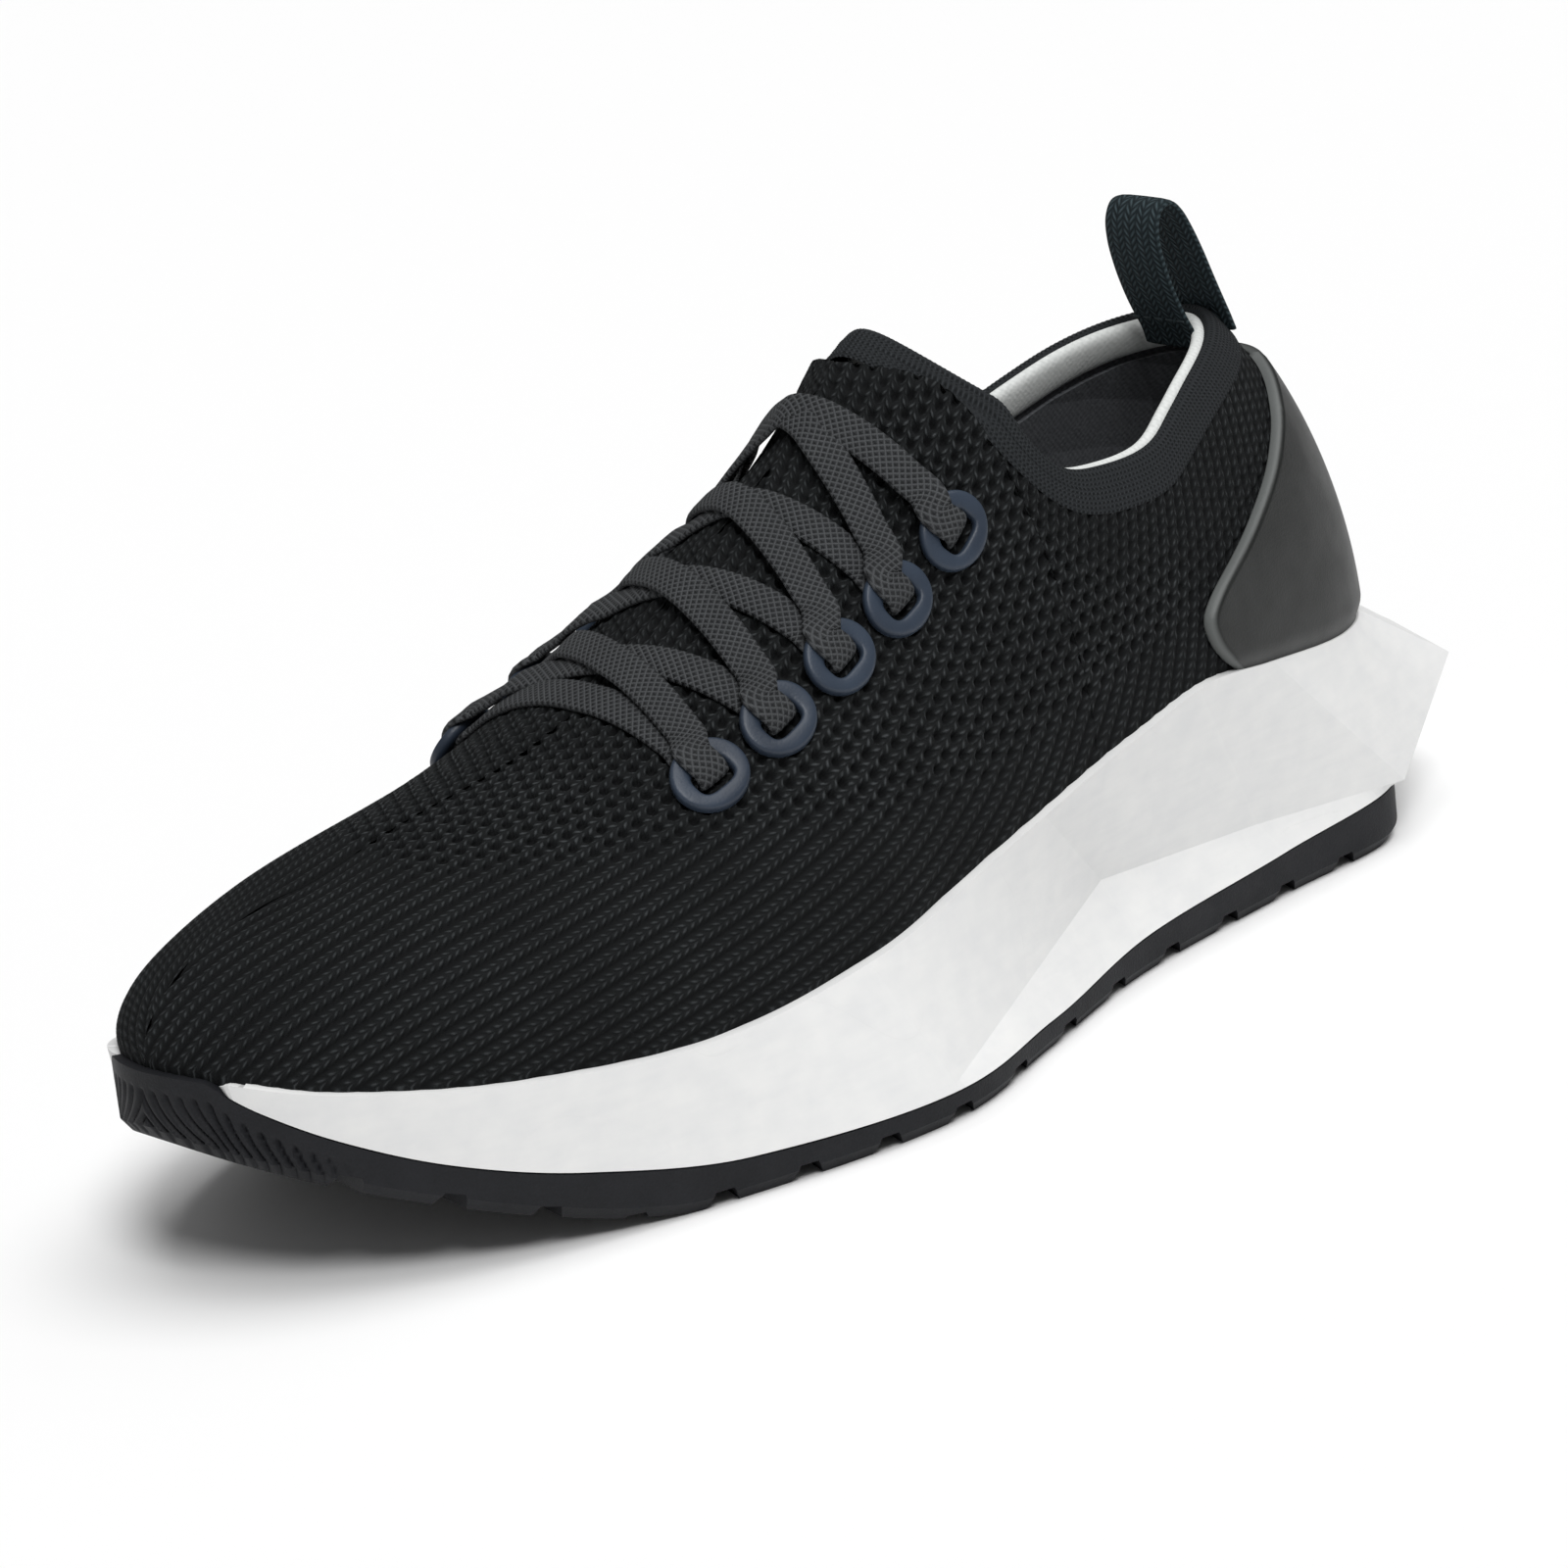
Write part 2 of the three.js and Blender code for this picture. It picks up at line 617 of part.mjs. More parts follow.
// Flat strip along a path of lace points.
function strip(path, width, thickness) {
  const rings = path.map((point, i) => {
    const before = path[Math.max(i - 1, 0)].at;
    const after = path[Math.min(i + 1, path.length - 1)].at;
    const along = after.clone().sub(before).normalize();
    const wide = point.wide.clone().addScaledVector(along, -point.wide.dot(along)).normalize();
    const thick = new THREE.Vector3().crossVectors(along, wide).normalize();
    const corner = (w, t) => point.at.clone()
      .addScaledVector(wide, (w * width) / 2)
      .addScaledVector(thick, (t * thickness) / 2);
    return [corner(-1, -1), corner(1, -1), corner(1, 1), corner(-1, 1)];
  });
  return toSolid(loft(rings));
}

function agletSolid(side) {
  const tail = tailPoints(eyeletRows - 1, side);
  const { at: end, wide } = tail[tail.length - 1];
  const along = end.clone().sub(tail[tail.length - 2].at).normalize();
  const start = end.clone().addScaledVector(along, fitGap);
  const far = start.clone().addScaledVector(along, agletLength);
  return strip([{ at: start, wide }, { at: far, wide }], laceWidth * 0.45, laceThickness * 1.6);
}

// ---------------------------------------------------------------- pull loop
const heelTurn = 0.5;
const collarBack = collarPoint(0);
const collarFront = collarPoint(wallDepth);
const tabZ = collarBack.z;

function collarPoint(inset) {
  let best = skinPoint(heelTurn, 0.5, inset);
  for (let step = 0; step <= 200; step++) {
    const point = skinPoint(heelTurn, step / 200, inset);
    if (Math.abs(point.z - upperHeight(point.x, 101)) < Math.abs(best.z - upperHeight(best.x, 101))) {
      best = point;
    }
  }
  return best;
}

function backFaceX(z, inset) {
  let nearest = skinPoint(heelTurn, 0, inset);
  for (let step = 0; step <= 200; step++) {
    const point = skinPoint(heelTurn, step / 200, inset);
    if (Math.abs(point.z - z) < Math.abs(nearest.z - z)) nearest = point;
  }
  return nearest.x;
}

// Webbing path in the heel's middle plane: outside the collar, over, and back inside.
const backStrapX = collarBack.x + tabThickness / 2 + 0.7;
const collarRadius = 9.5; // inner curve of the heel collar in the top view
const strapBow = collarRadius - Math.sqrt(collarRadius ** 2 - (tabWidth / 2) ** 2);
const frontStrapX = collarFront.x - tabThickness / 2 - strapBow - fitGap;

function loopPath() {
  const top = tabZ + tabRise;
  const wide = new THREE.Vector3(0, 1, 0);
  const curve = new THREE.CatmullRomCurve3([
    new THREE.Vector3(backStrapX - 1.6, spineY, tabZ + tabGap),
    new THREE.Vector3(backStrapX - 4.8, spineY, tabZ + tabRise * 0.55),
    new THREE.Vector3(backStrapX - 8.6, spineY, top - 3),
    new THREE.Vector3((backStrapX + frontStrapX) / 2 - 3.4, spineY, top),
    new THREE.Vector3(frontStrapX + 1.4, spineY, top - 2.8),
    new THREE.Vector3(frontStrapX - 0.4, spineY, tabZ + tabRise * 0.58),
    new THREE.Vector3(frontStrapX - 0.3, spineY, tabZ + tabGap),
  ], false, 'centripetal');
  return curve.getPoints(18).map((at) => ({ at, wide }));
}

// Ends of the webbing, sewn flat outside the collar and inside it.
function tabRoot(outside) {
  const loop = loopPath();
  const end = outside ? loop[0] : loop[loop.length - 1];
  const x = outside ? backStrapX : frontStrapX;
  const sewnDepth = outside ? 3.2 : 4.8;
  const sewn = [0, sewnDepth].map((drop) => {
    const z = tabZ - drop;
    const lean = outside ? backFaceX(z, 0) - backFaceX(tabZ, 0) : 0;
    return { at: new THREE.Vector3(x + lean, spineY, z), wide: end.wide };
  });
  const top = { at: end.at.clone().setZ(end.at.z - fitGap), wide: end.wide };
  return strip([top, ...sewn], tabWidth, tabThickness);
}

// ---------------------------------------------------------------- assembly
const shoe = new THREE.Group();

function add(name, solid, colour, roughness, metalness = 0) {
  const material = new THREE.MeshStandardMaterial({ color: colour, roughness, metalness });
  const mesh = new THREE.Mesh(toGeometry(solid), material);
  mesh.name = name;
  shoe.add(mesh);
}

const finish = {
  foam: [0xededed, 0.6],
  rubber: [0x26272b, 0.75],
  knit: [0x242628, 0.95],
  rib: [0x2b2d2f, 0.95],
  pale: [0xe6e8e6, 0.9],
  lining: [0x4a4a4c, 0.95],
  padding: [0x55575a, 0.95],
  counter: [0x2b2d2c, 0.4],
  ringBlue: [0x3a4352, 0.45],
  lace: [0x4a4a4c, 0.9],
  webbing: [0x2a3335, 0.85],
  board: [0xc9c3b4, 0.9],
  insole: [0x6b6d70, 0.9],
  stiff: [0xb9b6ad, 0.6],
  clear: [0x303236, 0.3],
};

const kneeGap = fitGap / 2;
const front = slab(-farX, flexX - kneeGap);
const rear = slab(flexX + kneeGap, farX);
const heelJoint = 54 * gradeX;

function addSole() {
  const midsole = midsoleSolid();
  add('midsole_forefoot', midsole.intersect(front), ...finish.foam);
  add('midsole_rearfoot', midsole.intersect(rear), ...finish.foam);
  const outsole = outsoleSolid();
  add('outsole_toe', outsole.intersect(front), ...finish.rubber);
  add('outsole_ball', outsole.intersect(slab(flexX + kneeGap, heelJoint - kneeGap)), ...finish.rubber);
  add('outsole_heel', outsole.intersect(slab(heelJoint + kneeGap, farX)), ...finish.rubber);
  const board = footbedSheet(fitGap, boardThickness);
  add('strobel_board_forefoot', board.intersect(front), ...finish.board);
  add('strobel_board_rearfoot', board.intersect(rear), ...finish.board);
  const insole = footbedSheet(boardThickness + 2 * fitGap, insoleThickness);
  add('insole_forefoot', insole.intersect(front), ...finish.insole);
  add('insole_rearfoot', insole.intersect(rear), ...finish.insole);
}

function addKnit() {
  const shell = layer(0, knitThickness).subtract(collarCutter(0));
  const bores = [eyeletBore(eyeletRows - 1, outer), eyeletBore(eyeletRows - 1, inner)];
  const body = shell.intersect(besideWedge(1)).subtract(collarCutter(ribBand));
  add('knit_toe_box', shell.intersect(besideWedge(-1)), ...finish.knit);
  add('knit_flex_zone', shell.intersect(flexWedge(fitGap / 2)), ...finish.knit);
  add('knit_quarters', body.subtract(wasm.Manifold.union(bores)), ...finish.knit);
  add('collar_rib_band', shell.intersect(collarCutter(ribBand - fitGap)), ...finish.rib);
}

function addInnerLayers() {
  const slot = layer(paddingDepth, paddingDepth + paddingThickness);
  const collar = collarCutter(-bindingLip);
  const below = collarCutter(bindingBand);
  const liningFront = 30 * gradeX;
  const rearZone = slab(liningFront, farX);
  const bindingZone = slab(42 * gradeX, farX);
  const wall = layer(paddingDepth, wallDepth).subtract(collar);
  add('collar_binding', wall.intersect(below.intersect(bindingZone)), ...finish.pale);
  const hidden = collarCutter(bindingBand + fitGap);
  const lining = layer(liningDepth, wallDepth).intersect(rearZone).subtract(hidden);
  add('foot_lining', lining, ...finish.lining);
  const stiffenerTop = upperHeight(100 * gradeX, 66);
  const floorZone = sidePrism([[70 * gradeX, -high], [farX, -high], [farX, stiffenerTop],
    [100 * gradeX, stiffenerTop]]);
  add('heel_stiffener', slot.intersect(floorZone), ...finish.stiff);
  const foamFloor = sidePrism([[46 * gradeX, upperHeight(46 * gradeX, 66)],
    [70 * gradeX, upperHeight(70 * gradeX, 62)], [100 * gradeX, stiffenerTop + fitGap],
    [farX, stiffenerTop + fitGap], [farX, high], [46 * gradeX, high]]);
  add('collar_foam', slot.intersect(foamFloor).subtract(hidden), ...finish.padding);
  const tongue = planPrism([[-22 * gradeX, spineY - 13], [27 * gradeX, spineY - 15],
    [27 * gradeX, spineY + 15], [-22 * gradeX, spineY + 13]], 0, high);
  add('instep_pad', slot.intersect(tongue), ...finish.padding);
  const puff = layer(paddingDepth, paddingDepth + puffThickness);
  add('toe_puff', puff.intersect(slab(-farX, -121 * gradeX)), ...finish.stiff);
  addEyestays();
}

function addEyestays() {
  const sheet = layer(paddingDepth, paddingDepth + eyestayThickness);
  const back = topEyeletX + eyeletLength * 0.62;
  const ahead = topEyeletX - (eyeletRows - 1) * eyeletPitch - eyeletLength * 0.62;
  for (const [name, side] of [['eyestay_outer', outer], ['eyestay_inner', inner]]) {
    const first = eyeletFrame(0, side).here.y;
    const last = eyeletFrame(eyeletRows - 1, side).here.y;
    const half = eyeletHeight * 0.55;
    const corners = [[ahead, first - half], [back, last - half], [back, last + half], [ahead, first + half]];
    const strip = sheet.intersect(planPrism(corners, soleHeight(soleTop, 0), high));
    add(name, strip.subtract(eyeletBore(4, side)), ...finish.clear);
  }
}

function addCounter() {
  const skin = layer(-fitGap - counterThickness, -fitGap);
  const edge = [[112, 89], [106, 84], [104, 81], [99.5, 77.9], [95, 74.2], [83.4, 66.7], [70, 59.3],
    [67, 56.2], [68, 52.5], [75, 45], [75, 30]];
  const zone = edge.map(([x, z]) => [x * gradeX, upperHeight(x * gradeX, z)]);
  const counterTop = upperHeight(112 * gradeX, 89);
  const profile = sidePrism([[farX, 0], [farX, counterTop], ...zone.slice(0, -1), [75 * gradeX, 0]]);
  add('heel_counter', skin.intersect(profile), ...finish.counter);
}

function addLacing() {
  for (let row = 0; row < eyeletRows; row++) {
    add(`eyelet_outer_${row + 1}`, eyeletSolid(row, outer), ...finish.ringBlue);
    add(`eyelet_inner_${row + 1}`, eyeletSolid(row, inner), ...finish.ringBlue);
  }
  add('lace', strip(lacePath(), laceWidth, laceThickness), ...finish.lace);
  add('aglet_outer', agletSolid(outer), ...finish.clear);
  add('aglet_inner', agletSolid(inner), ...finish.clear);
}

function addPullTab() {
  add('pull_loop', strip(loopPath(), tabWidth, tabThickness), ...finish.webbing);
  add('pull_loop_root_back', tabRoot(true), ...finish.webbing);
  add('pull_loop_root_front', tabRoot(false), ...finish.webbing);
}

addSole();
addKnit();
addInnerLayers();
addCounter();
addLacing();
addPullTab();

// The origin is the middle of the shoe's footprint, on the floor.
const extent = new THREE.Box3().setFromObject(shoe);
const middle = extent.getCenter(new THREE.Vector3());
shoe.position.set(-middle.x, -middle.y, 0);

export default shoe;
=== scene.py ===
"""Left running shoe: the visual model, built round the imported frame.

Shapes are worked out in millimetres on the shoe's last and written in metres.
"""
import logging
import math
from dataclasses import dataclass, field
from enum import Enum
from typing import Any, Callable, Sequence

import bmesh
import bpy
import numpy as np
from mathutils import Matrix, Vector


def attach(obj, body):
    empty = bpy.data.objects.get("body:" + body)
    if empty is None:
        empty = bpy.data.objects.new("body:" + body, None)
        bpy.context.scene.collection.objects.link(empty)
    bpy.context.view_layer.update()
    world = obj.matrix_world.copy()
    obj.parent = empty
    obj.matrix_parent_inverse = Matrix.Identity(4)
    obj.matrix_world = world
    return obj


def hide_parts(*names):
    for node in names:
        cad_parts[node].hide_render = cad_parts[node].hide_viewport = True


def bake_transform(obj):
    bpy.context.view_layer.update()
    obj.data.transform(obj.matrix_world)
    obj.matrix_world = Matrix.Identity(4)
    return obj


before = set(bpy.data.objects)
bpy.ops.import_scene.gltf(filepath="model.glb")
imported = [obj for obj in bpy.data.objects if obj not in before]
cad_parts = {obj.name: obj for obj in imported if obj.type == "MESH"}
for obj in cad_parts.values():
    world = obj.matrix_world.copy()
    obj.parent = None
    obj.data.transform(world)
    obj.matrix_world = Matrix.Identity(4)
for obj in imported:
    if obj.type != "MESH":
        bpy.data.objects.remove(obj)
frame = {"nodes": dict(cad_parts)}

log = logging.getLogger("running_shoe")
MM = 0.001
LAST_TO_ROW = np.array([-2.75, 3.4, 0.0])  # the last's own zero, seen from the footprint's middle
FIT_GAP = 0.3
Array = np.ndarray
Material = bpy.types.Material
Piece = bpy.types.Object
Height = Callable[[Array], Array]
Frame = tuple[Array, Array, Array, Array]
Hole = tuple[int, "Side"]


class Side(Enum):
    """Side of the foot, as the sign of Y."""

    OUTER = -1
    INNER = 1

    def turns(self, low: float, high: float, count: int) -> "Array":
        """Turns round an outline on this side, from its toe end to its heel end."""
        turns = np.linspace(low, high, count)
        return turns if self is Side.OUTER else 1 - turns


# ---------------------------------------------------------------- small numeric helpers
def smoothstep(value: Array, low: float, high: float) -> Array:
    """Smooth 0 to 1 ramp.

    Args:
        value: where to read the ramp.
        low: value at which it leaves 0.
        high: value at which it reaches 1.

    Returns:
        The ramp at each value.
    """
    t = np.clip((np.asarray(value, float) - low) / (high - low), 0.0, 1.0)
    return t * t * (3 - 2 * t)


def unit(vectors: Array) -> Array:
    """Vectors scaled to length one, along the last axis."""
    length = np.linalg.norm(vectors, axis=-1, keepdims=True)
    return vectors / np.maximum(length, 1e-9)


def squared(values: Array, power: float) -> Array:
    """Values with their size raised to a power and their sign kept."""
    return np.sign(values) * np.abs(values) ** power


def catmull(points: Array, steps: int, closed: bool = False) -> Array:
    """Centripetal Catmull-Rom curve through points.

    Args:
        points: the points it passes, one per row.
        steps: samples from one point to the next.
        closed: whether it returns to its start.

    Returns:
        Points along the curve; an open one keeps its last point.
    """
    points = np.asarray(points, float)
    count = len(points)
    if closed:
        line = np.vstack([points[-1], points, points[0], points[1]])
        spans = count
    else:
        line = np.vstack([2 * points[0] - points[1], points, 2 * points[-1] - points[-2]])
        spans = count - 1
    t = (np.arange(steps) / steps)[:, None]
    out = []
    for i in range(spans):
        p0, p1, p2, p3 = line[i : i + 4]
        d0, d1, d2 = (max(np.linalg.norm(b - a) ** 0.5, 1e-4) for a, b in ((p0, p1), (p1, p2), (p2, p3)))
        m1 = ((p1 - p0) / d0 - (p2 - p0) / (d0 + d1) + (p2 - p1) / d1) * d1
        m2 = ((p2 - p1) / d1 - (p3 - p1) / (d1 + d2) + (p3 - p2) / d2) * d1
        out.append(p1 + m1 * t + (3 * (p2 - p1) - 2 * m1 - m2) * t**2 + (2 * (p1 - p2) + m1 + m2) * t**3)
    result = np.vstack(out)
    return result if closed else np.vstack([result, points[-1]])


def height_curve(*knots: tuple[float, float]) -> Height:
    """Cubic through chosen (x, height) knots that never overshoots, flat beyond its ends."""
    x, z = np.array(knots, float).T
    rise = np.diff(z) / np.diff(x)
    slope = np.zeros(len(x))
    same = rise[:-1] * rise[1:] > 0
    both = rise[:-1] + rise[1:]
    slope[1:-1] = np.where(same, 2 * rise[:-1] * rise[1:] / np.where(same, both, 1), 0)

    def at(where: Array) -> Array:
        """Height at each x."""
        w = np.clip(np.asarray(where, float), x[0], x[-1])
        i = np.clip(np.searchsorted(x, w) - 1, 0, len(x) - 2)
        span = x[i + 1] - x[i]
        t = (w - x[i]) / span
        base = (2 * t - 3) * t * t * (z[i] - z[i + 1]) + z[i]
        return base + span * t * (1 - t) * (slope[i] * (1 - t) - slope[i + 1] * t)

    return at


def run_length(points: Array, axis: int = 0) -> Array:
    """Distance walked along an axis of points, from its start to each of them."""
    steps = np.linalg.norm(np.diff(points, axis=axis), axis=-1)
    return np.concatenate([np.zeros_like(np.take(steps, [0], axis)), np.cumsum(steps, axis)], axis)


def close_blur(values: Array, times: int) -> Array:
    """Values averaged with their neighbours round a closed loop."""
    for _ in range(times):
        values = (np.roll(values, 1, 0) + 2 * values + np.roll(values, -1, 0)) / 4
    return values


# ---------------------------------------------------------------- meshes
def link(made: Piece) -> Piece:
    """Puts an object in the scene."""
    bpy.context.scene.collection.objects.link(made)
    return made


def to_metres(points: Array) -> Array:
    """Points on the last, in millimetres, as places in the row frame."""
    return (np.asarray(points, float) + LAST_TO_ROW) * MM


def make_piece(name: str, points: Array, faces: Sequence[Sequence[int]], finish: Material | None = None) -> Piece:
    """Object with one smoothly shaded mesh.

    Args:
        name: the piece's name.
        points: vertices on the last, in millimetres.
        faces: corner numbers of each face.
        finish: its material.

    Returns:
        The new object, linked to the scene.
    """
    mesh = bpy.data.meshes.new(name)
    mesh.from_pydata(to_metres(points).tolist(), [], [list(map(int, f)) for f in faces])
    mesh.polygons.foreach_set("use_smooth", [True] * len(mesh.polygons))
    mesh.update()
    if finish:
        mesh.materials.append(finish)
    return link(bpy.data.objects.new(name, mesh))


def grid_faces(rows: int, columns: int, wrap_rows: bool = False, wrap_columns: bool = False) -> Array:
    """Quads of a grid whose vertices run row by row."""
    last_row = rows if wrap_rows else rows - 1
    last_column = columns if wrap_columns else columns - 1
    r, c = np.meshgrid(np.arange(last_row), np.arange(last_column), indexing="ij")
    r2, c2 = (r + 1) % rows, (c + 1) % columns
    quads = np.stack([r * columns + c, r2 * columns + c, r2 * columns + c2, r * columns + c2], -1)
    return quads.reshape(-1, 4)


def grid_piece(name: str, grid: Array, finish: Material, flip: bool = False, **wrap: bool) -> Piece:
    """Object from a grid of points; flip turns its faces over."""
    quads = grid_faces(*grid.shape[:2], **wrap)
    return make_piece(name, grid.reshape(-1, 3), quads[:, ::-1] if flip else quads, finish)


def write_uv(piece: Piece, name: str, per_vertex: Array) -> None:
    """Stores a UV map from one (u, v) pair per vertex."""
    mesh = piece.data
    layer = mesh.uv_layers.new(name=name)
    corners = np.zeros(len(mesh.loops), np.int32)
    mesh.loops.foreach_get("vertex_index", corners)
    layer.data.foreach_set("uv", per_vertex.reshape(-1, 2)[corners].astype(np.float32).ravel())


def write_value(piece: Piece, name: str, values: Array) -> None:
    """Stores one number per vertex."""
    attribute = piece.data.attributes.new(name, "FLOAT", "POINT")
    attribute.data.foreach_set("value", values.astype(np.float32).ravel())


def apply_modifiers(piece: Piece) -> Piece:
    """Turns a piece and its modifiers into one plain mesh."""
    depsgraph = bpy.context.evaluated_depsgraph_get()
    mesh = bpy.data.meshes.new_from_object(piece.evaluated_get(depsgraph))
    piece.modifiers.clear()
    old = piece.data
    piece.data = mesh
    bpy.data.meshes.remove(old)
    return piece


def soften(piece: Piece) -> Piece:
    """Rounds a piece by one level of subdivision."""
    modifier = piece.modifiers.new("soften", "SUBSURF")
    modifier.levels = modifier.render_levels = 1
    return apply_modifiers(piece)


def strip_piece(name: str, path: Array, wide: Array, size: Sequence[float], finish: Material, sides: int) -> Piece:
    """Closed band with a rounded flat section along a path.

    Args:
        name: the piece's name.
        path: centre line, in millimetres.
        wide: direction that the width takes at each point.
        size: full width and full thickness.
        finish: its material.
        sides: corners of the section.

    Returns:
        The piece, with a UV map "weave" in millimetres across and along.
    """
    along = unit(np.gradient(path, axis=0))
    wide = unit(wide - along * np.sum(wide * along, -1, keepdims=True))
    angle = np.arange(sides) / sides * 2 * math.pi
    across = squared(np.cos(angle), 0.55) * size[0] / 2
    out = squared(np.sin(angle), 0.75) * size[1] / 2
    grid = path[:, None] + wide[:, None] * across[:, None] + np.cross(along, wide)[:, None] * out[:, None]
    faces = grid_faces(*grid.shape[:2], wrap_columns=True).tolist()
    corners = np.arange(len(path) * sides).reshape(-1, sides)
    faces += [corners[0].tolist(), corners[-1, ::-1].tolist()]
    piece = make_piece(name, grid.reshape(-1, 3), faces, finish)
    write_uv(piece, "weave", np.stack(np.broadcast_arrays(across, run_length(path)[:, None]), -1))
    return piece


# ---------------------------------------------------------------- finishes
def srgb(code: str) -> tuple[float, float, float, float]:
    """Linear colour of an sRGB hex value such as "#2b2d2e"."""
    parts = [int(code[i : i + 2], 16) / 255 for i in (1, 3, 5)]
    return tuple(c / 12.92 if c <= 0.04045 else ((c + 0.055) / 1.055) ** 2.4 for c in parts) + (1.0,)


def add_node(tree: bpy.types.NodeTree, kind: str, links: dict | None = None, **settings: Any) -> bpy.types.Node:
    """Adds a node.

    Args:
        tree: the node tree.
        kind: the node's type name.
        links: input name or number, and the socket, Value or plain value that it takes.
        settings: the node's own properties.

    Returns:
        The node.
    """
    node = tree.nodes.new(kind)
    for key, value in settings.items():
        setattr(node, key, value)
    for key, value in (links or {}).items():
        value = getattr(value, "socket", value)
        if isinstance(value, bpy.types.NodeSocket):
            tree.links.new(value, node.inputs[key])
        else:
            node.inputs[key].default_value = value
    return node


class Value:
    """Number that a material works out at each point; arithmetic on it adds nodes."""

    def __init__(self, socket: bpy.types.NodeSocket) -> None:
        """Wraps a node's output."""
        self.socket = socket

    def apply(self, operation: str, *others: "Value | float") -> "Value":
        """Result of one arithmetic node on this value and the others."""
        inputs = dict(enumerate((self, *others)))
        return Value(add_node(self.socket.id_data, "ShaderNodeMath", inputs, operation=operation).outputs[0])

    def __add__(self, other: "Value | float") -> "Value":
        """Sum."""
        return self.apply("ADD", other)

    def __sub__(self, other: "Value | float") -> "Value":
        """Difference."""
        return self.apply("SUBTRACT", other)

    def __mul__(self, other: "Value | float") -> "Value":
        """Product."""
        return self.apply("MULTIPLY", other)

    def __abs__(self) -> "Value":
        """Size without sign."""
        return self.apply("ABSOLUTE")

    def wave(self, length: float) -> "Value":
        """Sine that repeats each time the value grows by a length."""
        return (self * (2 * math.pi / length)).apply("SINE")


class Finish:
    """A material made of nodes; each kind fills in its pattern."""

    name = "finish"
    roughness = 0.8
    specular = 0.12

    def build(self) -> Material:
        """Makes the material and returns it."""
        material = bpy.data.materials.new(self.name)
        material.use_nodes = True
        self.tree = material.node_tree
        self.shader = self.tree.nodes["Principled BSDF"]
        self.shader.inputs["Roughness"].default_value = self.roughness
        self.shader.inputs["Specular IOR Level"].default_value = self.specular
        self.dress()
        return material

    def dress(self) -> None:
        """Adds the pattern's nodes."""

    def place(self) -> bpy.types.NodeSocket:
        """Object coordinates, in metres."""
        return add_node(self.tree, "ShaderNodeTexCoord").outputs["Object"]

    def split(self, vector: bpy.types.NodeSocket) -> list[Value]:
        """The three parts of a vector."""
        return [Value(part) for part in add_node(self.tree, "ShaderNodeSeparateXYZ", {0: vector}).outputs]

    def uv(self, name: str) -> list[Value]:
        """The two coordinates of a UV map."""
        return self.split(add_node(self.tree, "ShaderNodeUVMap", uv_map=name).outputs[0])[:2]

    def painted(self, name: str) -> Value:
        """Number stored on the piece's vertices."""
        return Value(add_node(self.tree, "ShaderNodeAttribute", attribute_name=name).outputs["Fac"])

    def noise(self, scale: float, detail: float = 4.0, vector: bpy.types.NodeSocket | None = None) -> Value:
        """Noise over object coordinates, or over the vector given; scale is per metre."""
        links = {"Vector": vector or self.place(), "Scale": scale, "Detail": detail}
        return Value(add_node(self.tree, "ShaderNodeTexNoise", links).outputs[0])

    def colours(self, factor: Value, *stops: tuple[float, str]) -> None:
        """Gives the shader a colour picked by a factor from (place, hex) stops."""
        ramp = add_node(self.tree, "ShaderNodeValToRGB", {0: factor})
        elements = ramp.color_ramp.elements
        while len(elements) < len(stops):
            elements.new(0.5)
        for element, (place, code) in zip(elements, stops):
            element.position = place
            element.color = srgb(code)
        self.tree.links.new(ramp.outputs[0], self.shader.inputs["Base Color"])

    def bump(self, height: Value, distance: float, strength: float = 1.0) -> None:
        """Adds relief of a distance in millimetres to the shader's normal."""
        links = {"Height": height, "Distance": distance * MM, "Strength": strength}
        self.tree.links.new(add_node(self.tree, "ShaderNodeBump", links).outputs[0], self.shader.inputs["Normal"])

    def rough(self, factor: Value, low: float, high: float) -> None:
        """Lets a factor move the roughness between two values."""
        spread = add_node(self.tree, "ShaderNodeMapRange", {0: factor, 3: low, 4: high})
        self.tree.links.new(spread.outputs[0], self.shader.inputs["Roughness"])


@dataclass
class KnitFinish(Finish):
    """Weft-knitted polyester yarn: slanted loops in plaits, matte, with pale flecks of fibre and a painted highlight
    on the loops' crowns.
    """

    name: str = "knitted_polyester_upper"
    dark: str = "#0d0e0f"
    middle: str = "#1c1e1f"
    pale: str = "#4b4e50"
    loop_relief: float = 0.5

    def dress(self) -> None:
        """Two rows of slanted loops to a rib, with a painted highlight on the loops' crowns and painted shade in the
        grooves and holes.
        """
        across, along = self.uv("knit")
        centred = across.apply("FRACT") - 0.5
        slant = abs(centred) * 1.7 + (along + self.noise(900, 2) * 0.35)
        fibre = self.noise(6000, 3)
        # solid is low in the holes and grooves, where the colour below takes painted shade
        solid = self.painted("hollow_shade") * -1 + 1
        raised = (slant.wave(1) * 0.5 + 0.5) * abs(centred.wave(1)) * solid
        # Colour: pale fibre flecks, a painted highlight where the loops are raised, and painted shade in the holes and
        # grooves
        tone = (fibre * 0.5 + raised * 0.62) * (solid * 0.8 + 0.2) * (self.noise(60, 2) * 0.5 + 0.75)
        self.colours(tone, (0.08, self.dark), (0.42, self.middle), (0.95, self.pale))
        self.bump(fibre * 0.22 + raised, self.loop_relief)


